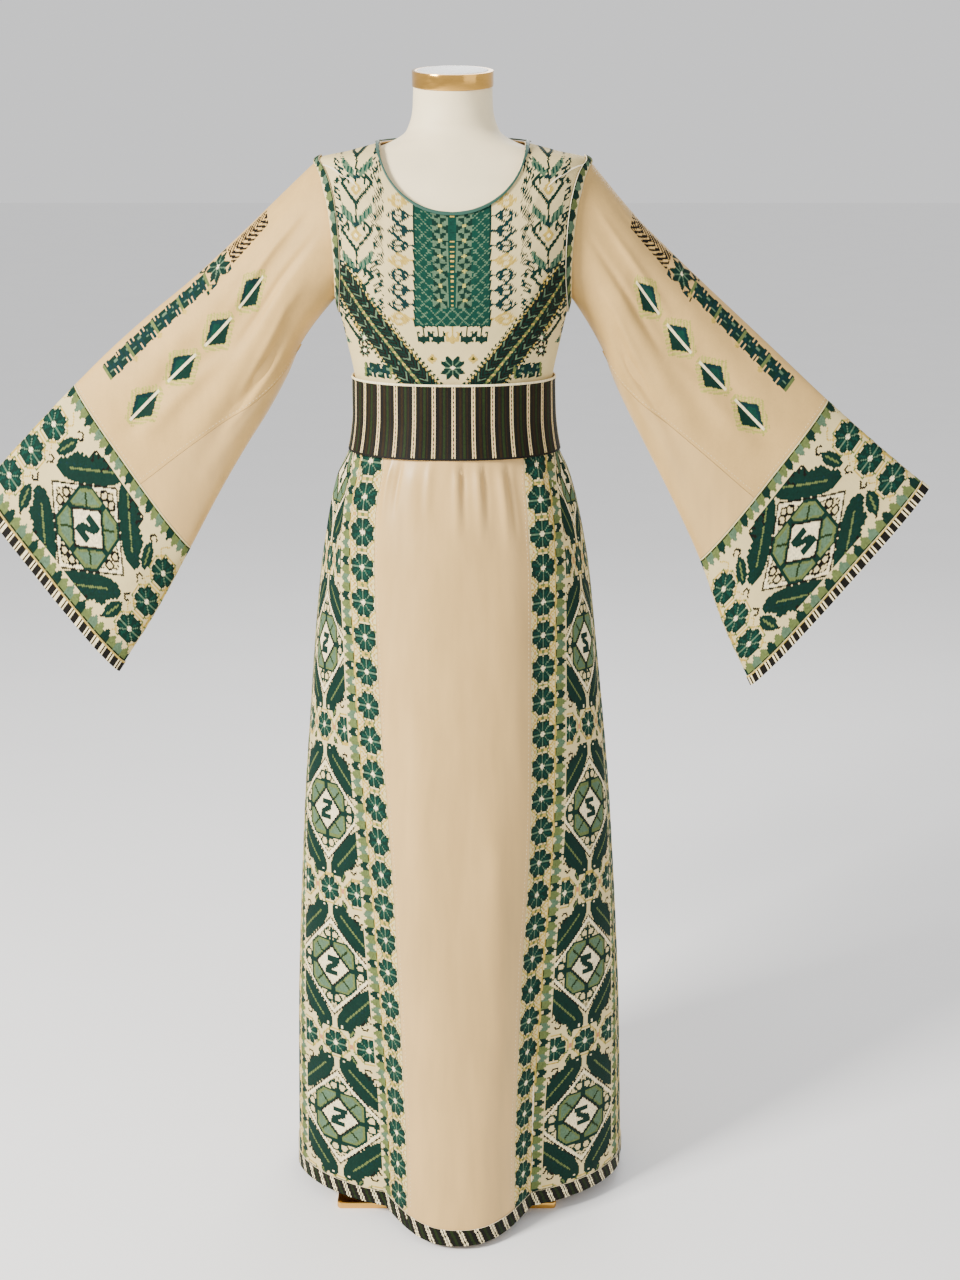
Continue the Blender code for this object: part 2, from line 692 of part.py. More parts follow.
def build_sleeve(side, table, collection):
    """One sleeve: upper piece, gore, cuff band and cuff binding."""
    def finish_grid(grid):
        return grid if side == "right" else grid[:, ::-1]

    upper = sleeve_strip(table, SLEEVE_STATIONS, lambda s: (-gore_edge(s), gore_edge(s)),
                         UPPER_SLEEVE_STEPS)
    loft(f"sleeve_{side}", finish_grid(parted(upper, SEAM_GAP)), False, collection, EMBROIDERED)
    gore = sleeve_strip(table, SLEEVE_STATIONS[GORE_FIRST:],
                        lambda s: (gore_edge(s), 2 * math.pi - gore_edge(s)), GORE_STEPS)
    gore = parted(gore, CUFF_GAP, end=False, axis=0)
    loft(f"sleeve_gore_{side}", finish_grid(parted(gore, SEAM_GAP)), False, collection, EMBROIDERED)
    cuff = sleeve_strip(table, CUFF_STATIONS, lambda s: (0.0, 2 * math.pi), CUFF_STEPS)[:, :-1]
    cuff = finish_grid(cuff)
    loft(f"cuff_band_{side}", cuff, True, collection, EMBROIDERED)
    binding = moved_out(cuff, LAY_GAP + TRIM_WALL, closed=True)[-2:]
    loft(f"cuff_binding_{side}", binding, True, collection, STRIPED, TRIM_WALL)


def build_form(collection):
    """The dress form's covered torso and neck, as one closed skin with a tilted flat top."""
    points = []
    for row in FORM_ROWS:
        for i in range(FORM_COLUMNS):
            angle = 2 * math.pi * i / FORM_COLUMNS
            inset = FORM_INSET * min(1.0, max(0.0, FORM_BARE_ROW - row))
            inset += SHOULDER_INSET * max(0.0, 1.0 - abs(row - SHOULDER_ROW) / SHOULDER_INSET_ROWS)
            skin = body_offset(angle, row, -inset) if row > 0 else body_point(angle, row)
            if row == FORM_ROWS[-1]:
                skin[2] = CAP_CENTRE[2] + (skin[1] - CAP_CENTRE[1]) * math.tan(CAP_TILT)
            points.append(tuple(skin))
    faces = ring_faces(len(FORM_ROWS), FORM_COLUMNS, True)
    faces.append(tuple(reversed(range(FORM_COLUMNS))))
    last = (len(FORM_ROWS) - 1) * FORM_COLUMNS
    faces.append(tuple(range(last, last + FORM_COLUMNS)))
    mesh = bpy.data.meshes.new("form_torso")
    mesh.from_pydata(points, [], faces)
    mesh.validate()
    add_object("form_torso", mesh, collection, FORM_COVER)


def turned(name, profile, collection, finish, steps=28):
    """Turn a profile of (radius, height) points round the Z axis with a Screw modifier."""
    mesh = bpy.data.meshes.new(name)
    edges = [(i, i + 1) for i in range(len(profile) - 1)]
    mesh.from_pydata([(radius, 0.0, height) for radius, height in profile], edges, [])
    piece = add_object(name, mesh, collection, finish)
    screw = piece.modifiers.new("turn", "SCREW")
    screw.steps = steps
    screw.render_steps = steps
    screw.use_merge_vertices = True
    screw.merge_threshold = 0.00005
    return piece


def build_stand(collection):
    """Neck cap, pole with its flange, and the base plate."""
    rim = CAP_RADIUS - CAP_RIM
    seat = CAP_HEIGHT - CAP_RECESS
    tilt = (Matrix.Translation(CAP_CENTRE) @ Matrix.Rotation(CAP_TILT, 4, "X")
            @ Matrix.Translation((0.0, 0.0, LAY_GAP)))
    ring = turned("neck_cap_ring", [(0.0, seat), (rim, seat), (rim, CAP_HEIGHT),
                                    (CAP_RADIUS - CAP_EDGE, CAP_HEIGHT),
                                    (CAP_RADIUS, CAP_HEIGHT - CAP_EDGE),
                                    (CAP_RADIUS, CAP_EDGE), (CAP_RADIUS - CAP_EDGE, 0.0), (0.0, 0.0)],
                  collection, GOLD)
    ring.matrix_world = tilt
    low = seat + LAY_GAP
    reach = rim - LAY_GAP
    dome = [(reach * math.sin(QUARTER * i / DISC_STEPS),
             low + CAP_RECESS - LAY_GAP + DISC_DOME * math.cos(QUARTER * i / DISC_STEPS))
            for i in range(DISC_STEPS + 1)]
    disc = turned("neck_cap_disc", dome + [(reach, low), (0.0, low)], collection, CAP_WHITE)
    disc.matrix_world = tilt

    foot = PLATE_SIZE[2] + LAY_GAP
    top = BODY[0].side_z - LAY_GAP
    turned("pole", [(0.0, top), (POLE_RADIUS, top), (POLE_RADIUS, foot + FLANGE_HEIGHT + COLLAR),
                    (POLE_RADIUS + COLLAR, foot + FLANGE_HEIGHT),
                    (FLANGE_RADIUS, foot + FLANGE_HEIGHT * FLANGE_SLOPE),
                    (FLANGE_RADIUS, foot), (0.0, foot)], collection, GOLD)

    bpy.ops.mesh.primitive_cube_add(size=1.0, location=(0.0, 0.0, 0.0))
    plate = bpy.context.active_object
    plate.name = "base_plate"
    plate.data.name = "base_plate"
    plate.data.transform(Matrix.Diagonal((*PLATE_SIZE, 1.0)))
    plate.location = (PLATE_SHIFT, 0.0, PLATE_SIZE[2] / 2)
    plate.data.materials.append(make_material(GOLD))
    for owner in list(plate.users_collection):
        owner.objects.unlink(plate)
    collection.objects.link(plate)
    edge = plate.modifiers.new("edge", "BEVEL")
    edge.width = PLATE_EDGE
    edge.segments = 2


def main():
    """Build every piece into one collection named for the object."""
    clear_scene()
    collection = bpy.data.collections.new("thobe_robe_on_dress_form")
    bpy.context.scene.collection.children.link(collection)
    build_form(collection)
    build_stand(collection)
    build_bodice(collection)
    build_armhole_trims(collection)
    build_neck_binding(collection)
    build_belt(collection)
    build_skirt(collection)
    build_sleeve("left", LEFT_SLEEVE, collection)
    build_sleeve("right", RIGHT_SLEEVE, collection)


main()
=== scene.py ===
"""Looks of the thobe robe on its dress form: embroidered cloth, satin panels and the gold stand.

Metres, +Z up, front towards -Y.  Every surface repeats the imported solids' own curves.
"""

import logging
import math
from dataclasses import dataclass, field
from enum import IntEnum
from typing import NamedTuple, Sequence

import bpy
import numpy as np
from mathutils import Matrix


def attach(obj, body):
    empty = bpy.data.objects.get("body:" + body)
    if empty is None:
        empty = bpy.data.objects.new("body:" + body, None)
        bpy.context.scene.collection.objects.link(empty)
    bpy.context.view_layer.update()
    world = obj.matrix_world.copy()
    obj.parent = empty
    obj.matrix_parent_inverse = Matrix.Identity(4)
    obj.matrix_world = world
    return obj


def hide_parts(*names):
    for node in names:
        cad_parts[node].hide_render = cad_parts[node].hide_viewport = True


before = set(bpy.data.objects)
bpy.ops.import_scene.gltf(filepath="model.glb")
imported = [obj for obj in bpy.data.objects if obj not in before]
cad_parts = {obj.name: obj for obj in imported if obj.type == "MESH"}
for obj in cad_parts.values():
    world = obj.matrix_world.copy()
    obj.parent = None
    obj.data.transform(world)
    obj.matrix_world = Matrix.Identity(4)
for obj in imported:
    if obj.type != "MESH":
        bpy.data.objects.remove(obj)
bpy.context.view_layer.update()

log = logging.getLogger("thobe_robe")

STITCH = 0.002
QUARTER = math.pi / 2
FULL_TURN = 2 * math.pi
WALL = 0.0013
TRIM_WALL = 0.0011
LAY_GAP = 0.0004
STRIP_GAP = 0.0015
SEAM_GAP = 0.0005


class Thread(IntEnum):
    """The threads of the embroidery, and the cloth that shows between them."""
    GROUND = 0
    DARK_GREEN = 1
    BLUE_GREEN = 2
    TEAL = 3
    SAGE = 4
    LIME = 5
    BLACK_BROWN = 6
    BROWN = 7
    IVORY = 8
    PINK = 9
    GREY_GREEN = 10
    MOSS = 11
    STRAW = 12


THREAD_COLOURS = (
    (206, 187, 134), (2, 36, 27), (3, 38, 38), (2, 52, 41), (90, 102, 56), (166, 158, 76),
    (11, 9, 4), (30, 19, 0), (230, 215, 170), (176, 122, 90), (78, 102, 78), (22, 36, 5),
    (180, 152, 70),
)
SATIN_TONE = (200, 163, 99)
LINING_TONE = (226, 214, 184)
THREAD_WANDER = 0.09
GROUND_WANDER = 0.012
SAW_THREADS = (Thread.DARK_GREEN, Thread.SAGE, Thread.GREY_GREEN, Thread.SAGE)
TRIM_THREADS = (Thread.DARK_GREEN, Thread.SAGE, Thread.DARK_GREEN, Thread.GREY_GREEN)
CLOTH_EDGE = math.radians(50)
FORM_EDGE = math.radians(35)
WEAVE_WAVES = 12.566
PROBE = 0.001
CREASE_FADE = 3.2


def linear(colour: Sequence[float]) -> np.ndarray:
    """Turn a screen colour of 0 to 255 into linear light."""
    part = np.asarray(colour, dtype=float) / 255.0
    return np.where(part <= 0.04045, part / 12.92, ((part + 0.055) / 1.055) ** 2.4)


def smooth_table(stations: np.ndarray, values: np.ndarray, at: np.ndarray) -> np.ndarray:
    """Read a smooth, never overshooting curve through a table's values.

    Args:
        stations: where the table's rows stand, in rising or falling order.
        values: one value for each row.
        at: where to read the curve.

    Returns:
        The curve's values, in the shape of at.
    """
    x, y = np.asarray(stations, dtype=float), np.asarray(values, dtype=float)
    if x[0] > x[-1]:
        x, y = x[::-1], y[::-1]
    run = np.diff(x)
    rise = np.diff(y) / run
    slope = np.empty_like(y)
    slope[0], slope[-1] = rise[0], rise[-1]
    together = rise[:-1] * rise[1:]
    total = np.where(together > 0, rise[:-1] + rise[1:], 1.0)
    slope[1:-1] = np.where(together > 0, 2.0 * together / total, 0.0)
    place = np.asarray(at, dtype=float)
    i = np.clip(np.searchsorted(x, place) - 1, 0, len(run) - 1)
    t = np.clip((place - x[i]) / run[i], 0.0, 1.0)
    return ((1 + 2 * t) * (1 - t) ** 2 * y[i] + t * (1 - t) ** 2 * run[i] * slope[i]
            + t * t * (3 - 2 * t) * y[i + 1] + t * t * (t - 1) * run[i] * slope[i + 1])


def table_column(rows: Sequence[tuple], number: int, at: np.ndarray,
                 stations: Sequence[float] | None = None) -> np.ndarray:
    """Read one column of a table smoothly.

    Args:
        rows: the table.
        number: which column.
        at: where to read it.
        stations: where the rows stand, or None where they are counted from 0.

    Returns:
        The column's values, in the shape of at.
    """
    stands = np.arange(len(rows)) if stations is None else stations
    return smooth_table(stands, [row[number] for row in rows], at)


def power(value: np.ndarray, exponent: np.ndarray) -> np.ndarray:
    """Raise signed numbers to a power, keeping their sign."""
    return np.sign(value) * np.abs(value) ** exponent


def eased(value: np.ndarray) -> np.ndarray:
    """Ease a number from 0 to 1 with flat ends."""
    held = np.clip(value, 0.0, 1.0)
    return held * held * (3 - 2 * held)


def grid_normals(grid: np.ndarray, closed: bool) -> np.ndarray:
    """Outward directions of a grid's points, across its columns and up its rows.

    Args:
        grid: points in rows and columns.
        closed: whether the columns go all the way round.

    Returns:
        A direction of length 1 at each point.
    """
    if closed:
        across = np.roll(grid, -1, axis=1) - np.roll(grid, 1, axis=1)
    else:
        across = np.gradient(grid, axis=1)
    normals = np.cross(across, np.gradient(grid, axis=0))
    return normals / np.maximum(np.linalg.norm(normals, axis=2, keepdims=True), 1e-12)


def even_shares(curve: np.ndarray, count: int) -> np.ndarray:
    """Places along a sampled curve, from 0 to 1, that part it into equal lengths."""
    return shares_at(curve, np.linspace(0, 1, count + 1))


def shares_at(curve: np.ndarray, marks: np.ndarray, held: float = 0.0, step: float = 0.0) -> np.ndarray:
    """Places along a sampled curve, from 0 to 1, that stand at some shares of its length.

    Args:
        curve: points along the curve.
        marks: shares of the length, or of what the held part leaves over.
        held: length at the curve's start that is parted into steps of a fixed size.
        step: the fixed size, or 0 where nothing is held.

    Returns:
        The places, those of the held part first.
    """
    steps = np.linalg.norm(np.diff(curve, axis=0), axis=1)
    length = np.concatenate(((0.0,), np.cumsum(steps)))
    wanted = held + (length[-1] - held) * marks
    if step:
        wanted = np.concatenate((np.arange(round(held / step)) * step, wanted))
    return np.interp(wanted, length, np.linspace(0, 1, len(curve)))


def drawn_in(grid: np.ndarray, gap: float, start: bool = True, end: bool = True,
             axis: int = 1) -> np.ndarray:
    """Draw the first or last line of a grid inwards, to leave half of a seam's gap.

    Args:
        grid: points in rows and columns.
        gap: the whole gap, in metres.
        start: whether the first line moves.
        end: whether the last line moves.
        axis: 1 to move columns, 0 to move rows.

    Returns:
        The grid with its lines moved.
    """
    lines = np.moveaxis(grid.copy(), axis, 0)
    pairs = ([(0, 1)] if start else []) + ([(-1, -2)] if end else [])
    for edge, neighbour in pairs:
        towards = lines[neighbour] - lines[edge]
        lines[edge] += towards / np.linalg.norm(towards, axis=1, keepdims=True) * gap / 2
    return np.moveaxis(lines, 0, axis)


def wrapped(grid: np.ndarray, closed: bool = True) -> np.ndarray:
    """Repeat the first column of a closed grid after its last one."""
    return np.concatenate((grid, grid[:, :1]), axis=1) if closed else grid


def quads(index: np.ndarray) -> list:
    """List the corners of each cell in a grid of point numbers, facing outwards."""
    corners = (index[:-1, :-1], index[:-1, 1:], index[1:, 1:], index[1:, :-1])
    return np.stack(corners, axis=2).reshape(-1, 4).tolist()


def placed(name: str, data: bpy.types.ID) -> bpy.types.Object:
    """Make an object from a mesh, a lamp or a camera and put it into the scene.

    Args:
        name: the object's name.
        data: what it shows.

    Returns:
        The new object.
    """
    piece = bpy.data.objects.new(name, data)
    bpy.context.scene.collection.objects.link(piece)
    return piece


class Crease(NamedTuple):
    """A crease between two places seen from the front: x and z in metres."""
    x0: float
    z0: float
    x1: float
    z1: float
    width: float
    height: float
    bow: float = 0.0


def crease_field(grid: np.ndarray, creases: Sequence[Crease]) -> np.ndarray:
    """Add up the listed creases over a grid of points.

    Args:
        grid: points of the cloth, in rows and columns.
        creases: the creases, each of which fades in and out along its length.

    Returns:
        How far each point moves outwards, in metres.
    """
    x, z = grid[..., 0], grid[..., 2]
    total = np.zeros(x.shape)
    for crease in creases:
        run = np.array((crease.x1 - crease.x0, crease.z1 - crease.z0))
        length = float(np.hypot(*run))
        run = run / length
        along = ((x - crease.x0) * run[0] + (z - crease.z0) * run[1]) / length
        away = (z - crease.z0) * run[0] - (x - crease.x0) * run[1]
        away = away - crease.bow * np.sin(math.pi * np.clip(along, 0, 1))
        fade = eased(np.minimum(along, 1 - along) * CREASE_FADE)
        total += crease.height * fade * np.exp(-(away / crease.width) ** 2)
    return total


class Canvas:
    """The stitches of one piece: their places in metres and the thread of each."""

    def __init__(self, across: np.ndarray, along: np.ndarray) -> None:
        """Start with bare cloth.

        Args:
            across: place of each stitch across the piece, in metres.
            along: place of each stitch along the piece, in metres.
        """
        self.across = across
        self.along = along
        self.thread = np.full(across.shape, int(Thread.GROUND))

    def lay(self, where: np.ndarray, thread: Thread) -> None:
        """Lay a thread on the stitches picked out."""
        self.thread[where] = int(thread)

    def local(self, across: float, along: float) -> tuple:
        """Stitches counted from a centre."""
        return (self.across - across) / STITCH, (self.along - along) / STITCH

    def repeated(self, across: float, first: float, pitch: float) -> tuple:
        """Stitches counted from the nearest centre of a row that repeats along the piece."""
        shift = (self.along - first + pitch / 2) % pitch - pitch / 2
        return (self.across - across) / STITCH, shift / STITCH

    def colours(self, seed: int, ground: Sequence[float] = THREAD_COLOURS[0]) -> np.ndarray:
        """Colour and raised amount of each stitch, with each thread a little uneven.

        Args:
            seed: what the uneven shades are drawn from.
            ground: screen colour of the bare cloth.

        Returns:
            Four numbers for each stitch: linear colour and raised amount.
        """
        palette = np.array([linear(colour) for colour in (ground,) + THREAD_COLOURS[1:]])
        raised = (self.thread != Thread.GROUND).astype(float)
        chance = np.random.default_rng(seed).standard_normal(self.thread.shape)
        shade = palette[self.thread] * (1 + chance * (GROUND_WANDER + THREAD_WANDER * raised))[..., None]
        return np.concatenate((np.clip(shade, 0, 1), raised[..., None]), axis=2)


class Motif:
    """Traditional cross-stitch shapes, each drawn on a canvas from counted stitches."""

    @staticmethod
    def flower(canvas: Canvas, u: np.ndarray, v: np.ndarray, size: float = 9.6) -> None:
        """Draw a flower of eight full petals in four pairs, a light centre and lace round it.

        Args:
            canvas: where to draw.
            u: stitches from the centre across.
            v: stitches from the centre along.
            size: reach of the petals, in stitches.
        """
        a, b = np.maximum(abs(u), abs(v)), np.minimum(abs(u), abs(v))
        octagon = np.maximum(a, (a + b) * 0.735)
        rim = (octagon > size + 0.2) & (octagon < size + 1.6)
        canvas.lay(rim, Thread.STRAW)
        canvas.lay(rim & (b > 3.4) & (b < 5.0), Thread.SAGE)
        turn = math.pi / 8
        p = a * math.cos(turn) + b * math.sin(turn)
        q = b * math.cos(turn) - a * math.sin(turn)
        petal = ((p - 0.55 * size) / (0.46 * size)) ** 2 + (q / (0.36 * size)) ** 2 < 1
        canvas.lay(petal, Thread.DARK_GREEN)
        canvas.lay(petal & (abs(q) < 0.7) & (p > 0.30 * size) & (p < 0.80 * size), Thread.TEAL)
        canvas.lay(petal & ((b < 0.42) | (a - b < 0.50)), Thread.GREY_GREEN)
        canvas.lay(a + b < 0.16 * size + 0.7, Thread.IVORY)

    @staticmethod
    def star(canvas: Canvas, u: np.ndarray, v: np.ndarray, size: float,
             thread: Thread = Thread.DARK_GREEN) -> None:
        """Draw an eight-pointed star made of eight slanted blocks.

        Args:
            canvas: where to draw.
            u: stitches from the centre across.
            v: stitches from the centre along.
            size: reach of the points, in stitches.
            thread: the blocks' thread.
        """
        a, b = np.maximum(abs(u), abs(v)), np.minimum(abs(u), abs(v))
        body = (a < size) & (b <= size * 0.56) & (a - b <= size * 0.62)
        canvas.lay(body, thread)
        canvas.lay(body & ((b < 0.45) | ((a - b < 0.6) & (a > 1.5))), Thread.GREY_GREEN)
        canvas.lay(a + b < 1.6, Thread.IVORY)

    @staticmethod
    def leaf(canvas: Canvas, u: np.ndarray, v: np.ndarray, lean: float, length: float,
             width: float) -> None:
        """Draw a pointed leaf whose middle is at the local origin, with a light rib.

        Args:
            canvas: where to draw.
            u: stitches from the centre across.
            v: stitches from the centre along.
            lean: direction of its length, in degrees.
            length: half of its length, in stitches.
            width: half of its width, in stitches.
        """
        cosine, sine = math.cos(math.radians(lean)), math.sin(math.radians(lean))
        p, q = u * cosine + v * sine, v * cosine - u * sine
        reach = np.clip(1 - (p / length) ** 2, 0, 1)
        canvas.lay(abs(q) < width * reach ** 0.8, Thread.DARK_GREEN)
        canvas.lay((abs(q) < 0.55) & (abs(p) < length * 0.66), Thread.SAGE)

    @staticmethod
    def curl(canvas: Canvas, u: np.ndarray, v: np.ndarray, size: float,
             thread: Thread = Thread.BLACK_BROWN) -> None:
        """Draw a small hooked curl that opens to one side.

        Args:
            canvas: where to draw.
            u: stitches from the centre across.
            v: stitches from the centre along.
            size: radius of the hook, in stitches.
            thread: its thread.
        """
        round_way = np.hypot(u, v)
        canvas.lay((abs(round_way - size) < 0.62) & ~((u > 0) & (v < 0)), thread)
        canvas.lay((abs(u) < 0.6) & (v < -size) & (v > -2.2 * size), thread)

    @staticmethod
    def saw(canvas: Canvas, across: np.ndarray, along: np.ndarray, width: float,
            pitch: float, base: float, threads: Sequence[Thread] = SAW_THREADS) -> None:
        """Draw a band of blocks whose one edge is cut into triangles.

        Args:
            canvas: where to draw.
            across: stitches from the band's straight edge.
            along: stitches along the band.
            width: the band's width, in stitches.
            pitch: the length of one block, in stitches.
            base: the share of the width that the triangles don't cut into.
            threads: the blocks' threads in their order.
        """
        band = (across >= 0) & (across < width)
        canvas.lay(band, Thread.GROUND)
        step = np.floor(along / pitch).astype(int)
        place = along / pitch - step
        tooth = across < width * (base + (1 - base) * (1 - abs(2 * place - 1)))
        for number, thread in enumerate(threads):
            canvas.lay(band & tooth & (step % len(threads) == number), thread)
        canvas.lay(band & (across < 0.9) & (place > 0.2), Thread.MOSS)

    @staticmethod
    def core(canvas: Canvas, u: np.ndarray, v: np.ndarray, size: float) -> None:
        """Draw a medallion's eight-sided core: four facets round a light diamond with a key.

        Args:
            canvas: where to draw.
            u: stitches from the centre across.
            v: stitches from the centre along.
            size: reach of the sides, in stitches.
        """
        a, b = abs(u) / size, abs(v) / size
        low, high = np.minimum(a, b), np.maximum(a, b)
        octagon = np.maximum(high, (a + b) * 0.60)
        canvas.lay(octagon < 1.0, Thread.DARK_GREEN)
        facets = (octagon < 0.93) & (a + b > 0.86)
        canvas.lay(facets, Thread.GREY_GREEN)
        canvas.lay(facets & ((octagon > 0.85) | (a + b < 0.95)), Thread.SAGE)
        canvas.lay(facets & (low < 0.09), Thread.DARK_GREEN)
        canvas.lay(facets & (abs(a - b) < 0.05) & (octagon < 0.85), Thread.MOSS)
        inner = (a + b) < 0.78
        canvas.lay(inner, Thread.IVORY)
        canvas.lay(inner & (a + b > 0.70), Thread.BLACK_BROWN)
        p, q = u / size, v / size
        key = (abs(q + 0.55 * p) < 0.115) & (abs(p) < 0.28)
        key |= (abs(q - 0.26) < 0.10) & (p > -0.32) & (p < 0.22)
        key |= (abs(q + 0.26) < 0.10) & (p < 0.32) & (p > -0.22)
        canvas.lay(key & inner, Thread.DARK_GREEN)

    @staticmethod
    def birds(canvas: Canvas, a: np.ndarray, b: np.ndarray, ring: float, width: float,
              reach: float) -> None:
        """Draw the large leafy shapes that lie along the four sides of a diamond.

        Args:
            canvas: where to draw.
            a: stitches from the centre across, without sign.
            b: stitches from the centre along, without sign.
            ring: how far the shapes' middle line is from the centre, counted as a + b.
            width: half of a shape's width, counted the same way.
            reach: half of a shape's length, counted as a - b.
        """
        p, q = a - b + ring * 0.18, a + b - ring
        share = np.clip(1 - abs(p / reach) ** 3, 0, 1)
        notch = 1.2 * (np.floor(p / 2.2) % 2) + 1.6 * np.sin(p * 0.33)
        body = abs(q) < width * share ** 0.6 - notch * (q > 0)
        canvas.lay(body, Thread.DARK_GREEN)
        canvas.lay(body & (abs(q + 0.6) < 0.75) & (abs(p) < reach * 0.62), Thread.SAGE)
        canvas.lay(body & (abs(q - 2.6) < 0.7) & (p > -reach * 0.5) & (np.floor(p / 2) % 3 == 0),
                   Thread.BLUE_GREEN)
        head = abs(p + reach * 0.86) + abs(q - 1.0)
        canvas.lay(head < 5.2, Thread.DARK_GREEN)
        canvas.lay(head < 1.4, Thread.IVORY)

    @staticmethod
    def medallion(canvas: Canvas, u: np.ndarray, v: np.ndarray) -> None:
        """Draw the large medallion: core, light diamond, hooks, leafy shapes and curls.

        Args:
            canvas: where to draw.
            u: stitches from the centre across.
            v: stitches from the centre along.
        """
        a, b = abs(u), abs(v)
        diamond = a + b
        Motif.birds(canvas, a, b, 47.0, 12.0, 33.0)
        canvas.lay(diamond < 35.5, Thread.GROUND)
        canvas.lay(abs(diamond - 34.6) < 0.75, Thread.BLACK_BROWN)
        canvas.lay(abs(diamond - 32.4) < 1.5, Thread.IVORY)
        canvas.lay((abs(diamond - 29.8) < 0.9) & (np.floor((a - b) / 1.6) % 2 == 0), Thread.MOSS)
        for along, across in ((b, a), (a, b)):
            canvas.lay((across < 1.0) & (along > 18.6) & (along < 27.0), Thread.DARK_GREEN)
            canvas.lay((abs(np.hypot(across - 3.2, along - 22.5) - 3.0) < 0.75), Thread.DARK_GREEN)
        Motif.core(canvas, u, v, 19.0)
        for side in (-1, 1):
            for rise in (-1, 1):
                p, q = u * side, v * rise
                Motif.curl(canvas, p - 22.5, q - 38.5, 2.3)
                Motif.curl(canvas, -(p - 27.0), q - 33.0, 1.8)
                canvas.lay((abs(p - 26.5) < 2.4) & (abs(q - 1.2) < 1.3), Thread.DARK_GREEN)

    @staticmethod
    def arrowhead(canvas: Canvas, u: np.ndarray, v: np.ndarray, size: float = 13.5) -> None:
        """Draw a long diamond of two greens with a light spine and a feathered fringe.

        Args:
            canvas: where to draw.
            u: stitches from the centre across.
            v: stitches from the centre along.
            size: half of its length, in stitches.
        """
        b = abs(v)
        wide = size * 0.60
        edge = wide * (1 - abs(u) / size)
        fringe = (b < edge + 4.4) & (b > edge) & (edge > -1.5)
        canvas.lay(fringe & (np.floor((u + b) / 1.1) % 3 != 0), Thread.LIME)
        canvas.lay((b < edge) & (v >= 0), Thread.DARK_GREEN)
        canvas.lay((b < edge) & (v < 0), Thread.BLUE_GREEN)
        canvas.lay((b < edge) & (b > 1.0) & (b < edge - 2.6) & (v < 0) & (u > -4), Thread.TEAL)
        canvas.lay((b < 0.55) & (abs(u) < size), Thread.IVORY)

    @staticmethod
    def comb(canvas: Canvas, u: np.ndarray, v: np.ndarray, size: float = 12.0) -> None:
        """Draw a dense stepped comb: two slanted blocks with teeth, one turned to the other.

        Args:
            canvas: where to draw.
            u: stitches from the centre across.
            v: stitches from the centre along.
            size: half of its length, in stitches.
        """
        step = np.floor(np.clip((u + size) / (size / 2), 0, 3.99))
        middle = 3.0 * (step % 2) - 1.5
        inside = abs(u) < size
        canvas.lay(inside & (abs(v - middle) < size * 0.34), Thread.DARK_GREEN)
        teeth = inside & (abs(v - middle) < size * 0.70) & (np.floor(u) % 3 < 2)
        canvas.lay(teeth & ((v > middle) == (step % 2 == 0)), Thread.BLUE_GREEN)
        canvas.lay(inside & (abs(v - middle) < 0.8) & (np.floor(u) % 6 < 3), Thread.GREY_GREEN)
        canvas.lay((abs(abs(u) - size) < 0.8) & (abs(v) < size * 0.5), Thread.SAGE)


def banded(place: np.ndarray, bands: Sequence[tuple], canvas: Canvas) -> None:
    """Lay stripes whose shares of one repeat are given in their order.

    Args:
        place: how far each stitch lies into its repeat, from 0 to 1.
        bands: share and thread of each stripe.
        canvas: where to draw.
    """
    start = 0.0
    for share, thread in bands:
        canvas.lay((place >= start) & (place < start + share), thread)
        start += share


